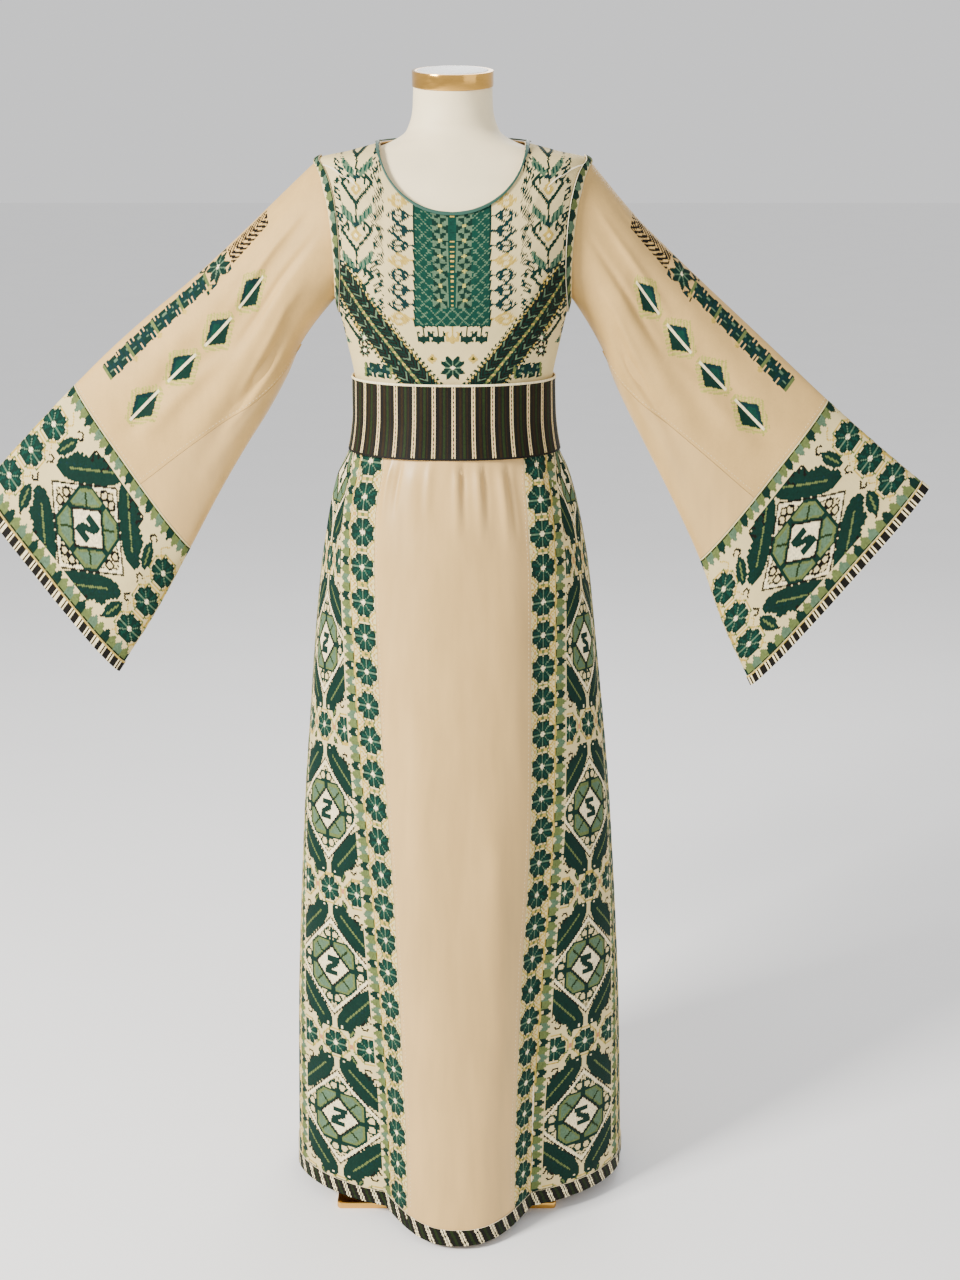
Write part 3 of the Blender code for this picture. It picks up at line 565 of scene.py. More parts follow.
class Cloth:
    """Makes one piece of cloth: a fine outer face, a plainer lining side and closed edges."""

    def __init__(self, name: str, grid: np.ndarray, closed: bool = False, wall: float = WALL,
                 stride: int = 6) -> None:
        """Keep the piece's outer face.

        Args:
            name: the piece's name.
            grid: points of the outer face, in rows and columns that face outwards.
            closed: whether the columns go all the way round.
            wall: thickness of the cloth.
            stride: how many fine steps one step of the inner face takes.
        """
        self.name = name
        self.grid = grid
        self.closed = closed
        self.wall = wall
        self.stride = stride

    def cells(self) -> tuple:
        """Lengths of the stitches: the place of each across its row, and its centre.

        Returns:
            The lengths and the centres, one for each stitch.
        """
        grid = wrapped(self.grid, self.closed)
        steps = np.linalg.norm(np.diff(grid, axis=1), axis=2)
        reach = np.concatenate((np.zeros((len(grid), 1)), np.cumsum(steps, axis=1)), axis=1)
        middle = (reach[1:, 1:] + reach[:-1, 1:] + reach[1:, :-1] + reach[:-1, :-1]) / 4
        centre = (grid[1:, 1:] + grid[:-1, 1:] + grid[1:, :-1] + grid[:-1, :-1]) / 4
        return middle, centre

    def raise_stitches(self, raised: np.ndarray, height: float) -> None:
        """Lift the corners of the raised stitches off the cloth.

        Args:
            raised: 1 where a stitch is raised, else 0.
            height: how far it stands up, in metres.
        """
        rows, columns = self.grid.shape[:2]
        lift, share = np.zeros((rows, columns)), np.zeros((rows, columns))
        width = columns if self.closed else columns - 1
        for r in (0, 1):
            for c in (0, 1):
                part = np.roll(raised, c, axis=1) if self.closed else raised
                first = 0 if self.closed else c
                lift[r:r + rows - 1, first:first + width] += part
                share[r:r + rows - 1, first:first + width] += 1
        self.grid = self.grid + (lift / share * height)[..., None] * grid_normals(self.grid, self.closed)

    def _marks(self, count: int) -> np.ndarray:
        """Pick every few lines of a grid, the first and last among them."""
        steps = max(1, round((count - 1) / self.stride))
        return np.unique(np.round(np.linspace(0, count - 1, steps + 1)).astype(int))

    def build(self, material: bpy.types.Material, colours: np.ndarray | None = None,
              back: Sequence[float] = LINING_TONE) -> bpy.types.Object:
        """Make the piece's object.

        Args:
            material: the finish of both faces.
            colours: colour and raised amount of each stitch, or None for plain cloth.
            back: screen colour of the wrong side.

        Returns:
            The new object, which sits at the origin.
        """
        rows, columns = self.grid.shape[:2]
        reach = columns if self.closed else columns - 1
        marks = self._marks(rows)
        turns = self._marks(reach + 1)
        kept = turns[:-1] if self.closed else turns
        inner = (self.grid - self.wall * grid_normals(self.grid, self.closed))[marks][:, kept]
        points = np.concatenate((self.grid.reshape(-1, 3), inner.reshape(-1, 3)))
        index = np.arange(rows * columns).reshape(rows, columns)
        outer = wrapped(index, self.closed)
        under = rows * columns + np.arange(len(marks) * len(kept)).reshape(len(marks), len(kept))
        lining = wrapped(under, self.closed)
        faces = quads(outer) + [[a, d, c, b] for a, b, c, d in quads(lining)]
        for i in range(len(turns) - 1):
            low = outer[0, turns[i]:turns[i + 1] + 1].tolist()
            high = outer[-1, turns[i]:turns[i + 1] + 1].tolist()
            faces.append([lining[0, i], lining[0, i + 1]] + low[::-1])
            faces.append([lining[-1, i + 1], lining[-1, i]] + high)
        if not self.closed:
            for i in range(len(marks) - 1):
                left = outer[marks[i]:marks[i + 1] + 1, 0].tolist()
                right = outer[marks[i]:marks[i + 1] + 1, -1].tolist()
                faces.append([lining[i + 1, 0], lining[i, 0]] + left)
                faces.append([lining[i, -1], lining[i + 1, -1]] + right[::-1])
        mesh = bpy.data.meshes.new(self.name)
        mesh.from_pydata(points.tolist(), [], faces)
        self._dress(mesh, colours, back, rows - 1, reach)
        mesh.materials.append(material)
        mesh.shade_smooth()
        mesh.set_sharp_from_angle(angle=CLOTH_EDGE)
        return placed(self.name, mesh)

    def _dress(self, mesh: bpy.types.Mesh, colours: np.ndarray | None, back: Sequence[float],
               rows: int, columns: int) -> None:
        """Give the mesh its stitch map and, where there is embroidery, its threads.

        Args:
            mesh: the piece's mesh.
            colours: colour and raised amount of each stitch, or None.
            back: screen colour of the wrong side.
            rows: rows of stitches.
            columns: stitches in a row.
        """
        loops = len(mesh.loops)
        front = rows * columns * 4
        r, c = np.meshgrid(np.arange(rows), np.arange(columns), indexing="ij")
        corners = np.stack((np.stack((c, c + 1, c + 1, c), axis=2),
                            np.stack((r, r, r + 1, r + 1), axis=2)), axis=3)
        place = np.zeros((loops, 2), np.float32)
        place[:front] = corners.reshape(-1, 2)
        mesh.uv_layers.new(name="stitches").data.foreach_set("uv", place.ravel())
        if colours is not None:
            shade = np.empty((loops, 4), np.float32)
            shade[:front] = np.repeat(colours.reshape(-1, 4), 4, axis=0)
            shade[front:] = (*linear(back), 0.0)
            layer = mesh.color_attributes.new("thread", "FLOAT_COLOR", "CORNER")
            layer.data.foreach_set("color", shade.ravel())


class Nodes:
    """A small helper that lays out one material's nodes."""

    def __init__(self, name: str) -> None:
        """Make the material and find its shader.

        Args:
            name: the material's name.
        """
        self.material = bpy.data.materials.new(name)
        self.material.use_nodes = True
        self.tree = self.material.node_tree
        self.shader = self.tree.nodes["Principled BSDF"]

    def add(self, kind: str, links: dict | None = None, **settings: object) -> bpy.types.Node:
        """Add a node, set what it is told to and link its inputs.

        Args:
            kind: the node's type.
            links: an output or a plain value for each input, by name or number.
            settings: attributes of the node itself.

        Returns:
            The new node.
        """
        node = self.tree.nodes.new(kind)
        for key, value in settings.items():
            setattr(node, key, value)
        for key, value in (links or {}).items():
            if isinstance(value, bpy.types.NodeSocket):
                self.tree.links.new(value, node.inputs[key])
            else:
                node.inputs[key].default_value = value
        return node

    def math(self, operation: str, first: object, second: object = 0.0) -> bpy.types.NodeSocket:
        """Add a sum of two values and give its result."""
        return self.add("ShaderNodeMath", {0: first, 1: second}, operation=operation).outputs[0]

    def place(self, stretch: Sequence[float] = (1.0, 1.0, 1.0)) -> bpy.types.NodeSocket:
        """Object coordinates, stretched along each axis."""
        where = self.add("ShaderNodeTexCoord").outputs["Object"]
        return self.add("ShaderNodeMapping", {"Vector": where, "Scale": stretch}).outputs[0]

    def noise(self, scale: float, detail: float = 2.0,
              stretch: Sequence[float] = (1.0, 1.0, 1.0)) -> bpy.types.NodeSocket:
        """Soft random variation over the object."""
        return self.add("ShaderNodeTexNoise", {"Vector": self.place(stretch), "Scale": scale,
                                               "Detail": detail}).outputs[0]

    def spread(self, value: bpy.types.NodeSocket, low: float, high: float) -> bpy.types.NodeSocket:
        """Spread a value around one half onto a range."""
        return self.add("ShaderNodeMapRange", {"Value": value, "From Min": 0.3, "From Max": 0.7,
                                               "To Min": low, "To Max": high}).outputs[0]

    def shaded(self, colour: object, amount: bpy.types.NodeSocket) -> bpy.types.NodeSocket:
        """A colour made lighter or darker by an amount around 1."""
        return self.add("ShaderNodeHueSaturation", {"Color": colour, "Value": amount}).outputs[0]

    def bump(self, height: bpy.types.NodeSocket, strength: float, distance: float,
             before: bpy.types.NodeSocket | None = None) -> bpy.types.NodeSocket:
        """A bump from a height, laid over one that comes before it.

        Args:
            height: what stands up.
            strength: share of the bump that shows.
            distance: height of the bump, in metres.
            before: the bump below it, if there is one.

        Returns:
            The bumped direction.
        """
        links = {"Height": height, "Strength": strength, "Distance": distance}
        if before is not None:
            links["Normal"] = before
        return self.add("ShaderNodeBump", links).outputs[0]

    def finish(self, colour: object, roughness: object, normal: bpy.types.NodeSocket | None = None,
               **sockets: float) -> bpy.types.Material:
        """Link the shader's own inputs and give the finished material.

        Args:
            colour: a link or a plain value.
            roughness: a link or a plain value.
            normal: the bumped direction.
            sockets: plain values of other inputs, with _ for each space.

        Returns:
            The new material.
        """
        values = {"Base Color": colour, "Roughness": roughness, "Normal": normal}
        values.update({name.replace("_", " "): value for name, value in sockets.items()})
        for key, value in values.items():
            if isinstance(value, bpy.types.NodeSocket):
                self.tree.links.new(value, self.shader.inputs[key])
            elif value is not None:
                self.shader.inputs[key].default_value = value
        return self.material


@dataclass(frozen=True)
class Embroidery:
    """Cross-stitch on woven cloth: its threads come from the piece's own stitch colours."""
    name: str
    roughness: float = 0.8
    stitch_depth: float = 0.0005
    ground_roughness: float = 0.7
    # How far the streaks of painted sheen lighten and darken the colour.
    painted_sheen_streaks: float = 0.02

    def make(self) -> bpy.types.Material:
        """Build the material: thread colours with uneven tone and streaks of painted sheen, a cross on each
        raised stitch and a fine weave.

        Returns:
            The new material.
        """
        nodes = Nodes(self.name)
        thread = nodes.add("ShaderNodeAttribute", attribute_name="thread")
        soft = nodes.noise(22.0, 3.0)
        # Streaks down the cloth: in the colour they are painted sheen; they also vary the roughness.
        painted_sheen_streak = nodes.noise(9.0, 3.0, (6.0, 6.0, 0.9))
        # The colour's tone: uneven tone of the threads times the streaks of painted sheen.
        tone = nodes.math("MULTIPLY", nodes.spread(soft, 0.94, 1.05),
                          nodes.spread(painted_sheen_streak, 1.0 - self.painted_sheen_streaks, 1.0 + self.painted_sheen_streaks))
        colour = nodes.shaded(thread.outputs["Color"], tone)
        where = nodes.add("ShaderNodeUVMap", uv_map="stitches").outputs[0]
        parts = nodes.add("ShaderNodeSeparateXYZ", {0: where})
        u = nodes.math("FRACT", parts.outputs[0])
        v = nodes.math("FRACT", parts.outputs[1])
        rising = nodes.math("ABSOLUTE", nodes.math("SUBTRACT", u, v))
        falling = nodes.math("ABSOLUTE", nodes.math("SUBTRACT", nodes.math("ADD", u, v), 1.0))
        cross = nodes.math("SUBTRACT", 1.0, nodes.math("MINIMUM", rising, falling))
        weave = nodes.math("MULTIPLY", nodes.math("SINE", nodes.math("MULTIPLY", u, WEAVE_WAVES)),
                           nodes.math("SINE", nodes.math("MULTIPLY", v, WEAVE_WAVES)))
        raised = nodes.math("MULTIPLY", cross, thread.outputs["Alpha"])
        height = nodes.math("ADD", raised, nodes.math("MULTIPLY", weave, 0.12))
        normal = nodes.bump(height, 0.7, self.stitch_depth)
        rough = nodes.math("MULTIPLY", thread.outputs["Alpha"], self.roughness - self.ground_roughness)
        rough = nodes.math("ADD", rough, nodes.spread(painted_sheen_streak, self.ground_roughness - 0.04,
                                                      self.ground_roughness + 0.05))
        return nodes.finish(colour, rough, normal, Specular_IOR_Level=0.15)


@dataclass(frozen=True)
class Satin:
    """Smooth woven satin with a soft sheen, and long, faint streaks of painted sheen in its colour."""
    name: str
    colour: tuple
    roughness: float = 0.42

    def make(self) -> bpy.types.Material:
        """Build the material: tone, streaks of painted sheen down the cloth, and a very fine weave.

        Returns:
            The new material.
        """
        nodes = Nodes(self.name)
        # Streaks down the cloth paint sheen into the colour and also vary the roughness; the soft cloud is
        # partly uneven tone and partly painted sheen.
        painted_sheen_streak = nodes.noise(9.0, 3.0, (6.0, 6.0, 0.9))
        tone_and_painted_sheen_cloud = nodes.noise(3.2, 2.0)
        # How much lighter or darker the colour is: painted sheen mixed with uneven tone.
        amount = nodes.math("MULTIPLY", nodes.spread(painted_sheen_streak, 0.92, 1.05), nodes.spread(tone_and_painted_sheen_cloud, 0.94, 1.05))
        colour = nodes.shaded((*linear(self.colour), 1.0), amount)
        weave = nodes.noise(900.0, 1.0, (1.0, 1.0, 0.35))
        wrinkle = nodes.noise(38.0, 3.0, (1.0, 1.0, 0.4))
        normal = nodes.bump(wrinkle, 0.16, 0.003)
        normal = nodes.bump(weave, 0.12, 0.0004, normal)
        return nodes.finish(colour, nodes.spread(painted_sheen_streak, self.roughness - 0.06, self.roughness + 0.08),
                            normal, Sheen_Weight=0.25, Sheen_Roughness=0.35, Specular_IOR_Level=0.5)


@dataclass(frozen=True)
class PlainCloth:
    """A plain cloth with a fine weave, such as a binding or the form's cover."""
    name: str
    colour: tuple
    roughness: float
    weave: float = 700.0
    depth: float = 0.0004

    def make(self) -> bpy.types.Material:
        """Build the material: a slightly uneven tone and a woven bump.

        Returns:
            The new material.
        """
        nodes = Nodes(self.name)
        tone = nodes.noise(14.0, 3.0)
        colour = nodes.shaded((*linear(self.colour), 1.0), nodes.spread(tone, 0.93, 1.05))
        normal = nodes.bump(nodes.noise(self.weave, 2.0), 0.35, self.depth)
        return nodes.finish(colour, nodes.spread(tone, self.roughness - 0.05, self.roughness + 0.05),
                            normal, Sheen_Weight=0.2)


@dataclass(frozen=True)
class PolishedMetal:
    """Gold coloured metal, polished, with faint rubbing."""
    name: str
    colour: tuple
    roughness: float

    def make(self) -> bpy.types.Material:
        """Build the material: warm metal, worn a little unevenly.

        Returns:
            The new material.
        """
        nodes = Nodes(self.name)
        rub = nodes.noise(60.0, 4.0, (1.0, 1.0, 3.0))
        colour = nodes.shaded((*linear(self.colour), 1.0), nodes.spread(rub, 0.95, 1.04))
        normal = nodes.bump(nodes.noise(240.0, 2.0), 0.05, 0.0004)
        return nodes.finish(colour, nodes.spread(rub, self.roughness - 0.05, self.roughness + 0.1),
                            normal, Metallic=1.0)


@dataclass(frozen=True)
class Finishes:
    """Every finish that the robe and its form wear, made once."""
    embroidery: bpy.types.Material
    stripes: bpy.types.Material
    satin: bpy.types.Material
    sleeve: bpy.types.Material
    binding: bpy.types.Material
    piping: bpy.types.Material
    cover: bpy.types.Material
    gold: bpy.types.Material
    cap: bpy.types.Material

    @staticmethod
    def make() -> "Finishes":
        """Make the materials.

        Returns:
            The finished set.
        """
        return Finishes(
            embroidery=Embroidery("cross_stitch").make(),
            stripes=Embroidery("striped_weave", roughness=0.66, stitch_depth=0.0003).make(),
            satin=Satin("cream_satin", SATIN_TONE).make(),
            # The sleeve's satin ground has stronger streaks of painted sheen.
            sleeve=Embroidery("stitched_satin", ground_roughness=0.42, painted_sheen_streaks=0.04).make(),
            binding=PlainCloth("dark_green_binding", (16, 66, 52), 0.55).make(),
            piping=PlainCloth("cream_piping", (226, 208, 164), 0.5).make(),
            cover=PlainCloth("ivory_cover", (238, 221, 180), 0.6, weave=900.0, depth=0.0002).make(),
            gold=PolishedMetal("polished_gold", (222, 170, 84), 0.14).make(),
            cap=PlainCloth("pale_cap", (226, 226, 224), 0.42, weave=300.0, depth=0.0001).make())


def hang(piece: bpy.types.Object, slot: str, *nodes: str) -> None:
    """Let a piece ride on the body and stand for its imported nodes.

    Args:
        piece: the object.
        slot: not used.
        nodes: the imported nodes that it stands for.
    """
    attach(piece, "root")
    if nodes:
        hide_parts(*nodes)
    log.info("%s: %d faces", piece.name, len(piece.data.polygons))


def wear(cloth: Cloth, material: bpy.types.Material, slot: str, node: str,
         colours: np.ndarray | None = None,
         back: Sequence[float] = LINING_TONE) -> None:
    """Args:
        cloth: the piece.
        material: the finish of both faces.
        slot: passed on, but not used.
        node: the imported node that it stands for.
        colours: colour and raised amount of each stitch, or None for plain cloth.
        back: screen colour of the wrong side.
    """
    piece = cloth.build(material, colours, back)
    hang(piece, slot, node)


@dataclass(frozen=True)
class FormSkin:
    """The dress form's skin, read at an angle round it and at a row of its table."""
    rows: tuple = (
        (0.134, 0.760, 0.086, 0.760, 0.094, 0.760, 2.1),
        (0.150, 0.830, 0.094, 0.830, 0.106, 0.830, 2.1),
        (0.146, 0.910, 0.096, 0.910, 0.104, 0.910, 2.1),
        (0.131, 1.000, 0.096, 1.000, 0.097, 1.000, 2.1),
        (0.1235, 1.115, 0.095, 1.115, 0.087, 1.115, 2.15),
        (0.1362, 1.195, 0.104, 1.195, 0.091, 1.195, 2.3),
        (0.150, 1.255, 0.111, 1.265, 0.096, 1.262, 2.6),
        (0.160, 1.315, 0.108, 1.325, 0.096, 1.330, 2.9),
        (0.168, 1.372, 0.093, 1.380, 0.089, 1.388, 2.8),
        (0.172, 1.4125, 0.076, 1.414, 0.076, 1.420, 2.4),
        (0.130, 1.4245, 0.063, 1.433, 0.060, 1.437, 2.2),
        (0.085, 1.4375, 0.056, 1.447, 0.049, 1.451, 2.1),
        (0.058, 1.4520, 0.052, 1.460, 0.043, 1.465, 2.0),
        (0.0505, 1.478, 0.052, 1.478, 0.042, 1.486, 2.0),
        (0.0495, 1.504, 0.0555, 1.4975, 0.0435, 1.5105, 2.0),
    )
    normal_step: float = 0.02

    def column(self, number: int, row: np.ndarray) -> np.ndarray:
        """Read one column of the table at some rows."""
        return table_column(self.rows, number, row)

    def point(self, angle: np.ndarray, row: np.ndarray) -> np.ndarray:
        """Points of the skin: angle 0 is the front middle, a quarter turn is +X.

        Args:
            angle: how far round, from the front middle.
            row: row of the skin's table.

        Returns:
            The points, in the shape of both together.
        """
        angle, row = np.broadcast_arrays(np.asarray(angle, float), np.asarray(row, float))
        exponent = 2.0 / self.column(6, row)
        ahead = np.cos(angle) >= 0
        share = np.cos(angle) ** 2
        depth = np.where(ahead, self.column(2, row), self.column(4, row))
        height = share * np.where(ahead, self.column(3, row), self.column(5, row))
        height += (1 - share) * self.column(1, row)
        return np.stack((self.column(0, row) * power(np.sin(angle), exponent),
                         -depth * power(np.cos(angle), exponent), height), axis=-1)

    def offset(self, angle: np.ndarray, row: np.ndarray, distance: np.ndarray) -> np.ndarray:
        """Points at a distance outside the skin.

        Args:
            angle: how far round, from the front middle.
            row: row of the skin's table.
            distance: how far outside, in metres.

        Returns:
            The points.
        """
        step = self.normal_step
        across = self.point(angle + step, row) - self.point(angle - step, row)
        up = self.point(angle, row + step) - self.point(angle, row - step)
        normal = np.cross(across, up)
        normal /= np.linalg.norm(normal, axis=-1, keepdims=True)
        return self.point(angle, row) + np.asarray(distance, float)[..., None] * normal


@dataclass
class DressForm:
    """The covered torso with its neck cap, and the gold pole and plate that carry it."""
    skin: FormSkin
    finishes: Finishes
    columns: int = 112
    row_step: float = 0.125
    inset: float = 0.0032
    bare_row: float = 12.1
    shoulder_row: float = 8.98
    shoulder_inset: float = 0.0016
    cap_centre: tuple = (0.0, -0.006, 1.504)
    cap_tilt: float = math.radians(7.5)
    cap_radius: float = 0.051
    cap_height: float = 0.019
    cap_rim: float = 0.0065
    cap_recess: float = 0.004
    disc_dome: float = 0.0022
    pole_radius: float = 0.0125
    flange_radius: float = 0.034
    flange_height: float = 0.008
    plate: tuple = (0.305, 0.256, 0.0095)
    plate_shift: float = -0.0125
    plate_corner: float = 0.006
    axis_hole: float = 0.002
    turn_steps: int = 96
    corner_steps: int = 5
    corner_pull: float = 0.18
    dome_steps: int = 12

    def build(self) -> None:
        """Build the torso and the stand."""
        self.build_torso()
        self.build_cap()
        self.build_pole()
        self.build_plate()

    def build_torso(self) -> None:
        """One closed skin from the hips to the tilted top of the neck."""
        rows = np.arange(0.0, len(self.skin.rows) - 1 + 1e-6, self.row_step)
        angles = np.linspace(0, FULL_TURN, self.columns, endpoint=False)
        angle, row = np.meshgrid(angles, rows)
        inset = self.inset * np.clip(self.bare_row - row, 0, 1)
        inset += self.shoulder_inset * np.clip(1 - abs(row - self.shoulder_row) / 1.5, 0, 1)
        grid = self.skin.offset(angle, row, -inset)
        grid[0] = self.skin.point(angles, np.zeros(self.columns))
        grid[-1, :, 2] = self.cap_centre[2] + (grid[-1, :, 1] - self.cap_centre[1]) * math.tan(self.cap_tilt)
        index = np.arange(grid.shape[0] * self.columns).reshape(grid.shape[0], self.columns)
        faces = quads(wrapped(index)) + [index[0, ::-1].tolist(), index[-1].tolist()]
        self.add("form_cover_skin", grid.reshape(-1, 3).tolist(), faces, self.finishes.cover,
                 "form_cover", "form_torso")

    def add(self, name: str, points: list, faces: list, material: bpy.types.Material, slot: str,
            *nodes: str) -> None:
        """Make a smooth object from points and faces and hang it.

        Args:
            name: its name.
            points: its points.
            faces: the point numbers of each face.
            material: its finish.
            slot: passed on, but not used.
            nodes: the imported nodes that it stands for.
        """
        mesh = bpy.data.meshes.new(name)
        mesh.from_pydata(points, [], faces)
        mesh.materials.append(material)
        mesh.shade_smooth()
        mesh.set_sharp_from_angle(angle=FORM_EDGE)
        hang(placed(name, mesh), slot, *nodes)

    def turned(self, profile: Sequence[tuple], place: Matrix) -> tuple:
        """Turn a profile of radius and height round the vertical, closed at both ends.

        Args:
            profile: radius and height of each ring.
            place: where the turned shape stands.

        Returns:
            Points and faces.
        """
        angles = np.linspace(0, FULL_TURN, self.turn_steps, endpoint=False)
        points = [place @ Matrix.Translation((r * math.cos(t), r * math.sin(t), z)).translation
                  for r, z in profile for t in angles]
        index = np.arange(len(points)).reshape(len(profile), self.turn_steps)
        ends = [index[0, ::-1].tolist(), index[-1].tolist()]
        return [tuple(p) for p in points], quads(wrapped(index)) + ends

    def rounded(self, corners: Sequence[tuple]) -> list:
        """Round each inner corner of a profile; a corner is (radius, height, rounding).

        Args:
            corners: the profile's corners.

        Returns:
            Radius and height of each point.
        """
        out = []
        last = self.corner_steps - 1
        for i, (r, z, soft) in enumerate(corners):
            if soft <= 0 or i in (0, len(corners) - 1):
                out.append((r, z))
                continue
            here = np.array((r, z))
            before, after = np.array(corners[i - 1][:2]) - here, np.array(corners[i + 1][:2]) - here
            before, after = before / np.linalg.norm(before), after / np.linalg.norm(after)
            for k in range(self.corner_steps):
                share = k / last
                near = soft * self.corner_pull * share
                out.append(tuple(here + before * (soft * (1 - share)) + (before + after) * near))
            for k in range(1, self.corner_steps):
                share = k / last
                near = soft * self.corner_pull * (1 - share)
                out.append(tuple(here + after * (soft * share) + (after + before) * near))
        return out

    def build_cap(self) -> None:
        """The gold ring on the neck and the pale disc in it, tilted together."""
        seat = self.cap_height - self.cap_recess
        rim = self.cap_radius - self.cap_rim
        place = (Matrix.Translation(self.cap_centre) @ Matrix.Rotation(self.cap_tilt, 4, "X")
                 @ Matrix.Translation((0.0, 0.0, LAY_GAP)))
        outline = self.rounded([(self.axis_hole, 0.0, 0), (self.cap_radius, 0.0, 0.0012),
                                (self.cap_radius, self.cap_height, 0.0016),
                                (rim, self.cap_height, 0.0008), (rim, seat, 0),
                                (self.axis_hole, seat, 0)])
        points, faces = self.turned(outline, place)
        self.add("neck_ring", points, faces, self.finishes.gold, "gold_metal", "neck_cap_ring")
        reach = rim - LAY_GAP
        low = seat + LAY_GAP
        dome = [(self.axis_hole, low), (reach, low)]
        dome += [(max(reach * math.cos(QUARTER * i / self.dome_steps), self.axis_hole),
                  low + self.cap_recess - LAY_GAP
                  + self.disc_dome * math.sin(QUARTER * i / self.dome_steps))
                 for i in range(self.dome_steps + 1)]
        points, faces = self.turned(dome, place)
        self.add("neck_disc", points, faces, self.finishes.cap, "cap_white", "neck_cap_disc")

    def build_pole(self) -> None:
        """The pole with its flange and collar."""
        foot = self.plate[2] + LAY_GAP
        top = self.skin.rows[0][1] - LAY_GAP
        collar = self.pole_radius + 0.004
        outline = self.rounded([(self.axis_hole, foot, 0), (self.flange_radius, foot, 0.0008),
                                (self.flange_radius, foot + self.flange_height * 0.7, 0.002),
                                (collar, foot + self.flange_height, 0.002),
                                (self.pole_radius, foot + self.flange_height + 0.004, 0.0015),
                                (self.pole_radius, top, 0.0005), (self.axis_hole, top, 0)])
        points, faces = self.turned(outline, Matrix.Identity(4))
        self.add("stand_pole", points, faces, self.finishes.gold, "gold_metal", "pole")

    def build_plate(self) -> None:
        """The base plate: a slab with softened corners and edges."""
        width, depth, height = self.plate
        rows = []
        for inset, z in ((0.002, 0.0), (0.0006, 0.0004), (0.0, 0.002), (0.0, height - 0.002),
                         (0.0006, height - 0.0006), (0.002, height)):
            ring = []
            for quarter in range(4):
                for k in range(9):
                    turn = QUARTER * (quarter + k / 8)
                    sx = 1 if quarter in (0, 3) else -1
                    sy = 1 if quarter in (0, 1) else -1
                    soft = self.plate_corner - inset
                    x = self.plate_shift + sx * (width / 2 - self.plate_corner) + soft * math.cos(turn)
                    y = sy * (depth / 2 - self.plate_corner) + soft * math.sin(turn)
                    ring.append((x, y, z))
            rows.append(ring)
        count = len(rows[0])
        points = [p for ring in rows for p in ring]
        faces = [[r * count + c, r * count + (c + 1) % count, (r + 1) * count + (c + 1) % count,
                  (r + 1) * count + c] for r in range(len(rows) - 1) for c in range(count)]
        faces += [list(range(count))[::-1], list(range((len(rows) - 1) * count, len(rows) * count))]
        self.add("stand_plate", points, faces, self.finishes.gold, "gold_metal", "base_plate")


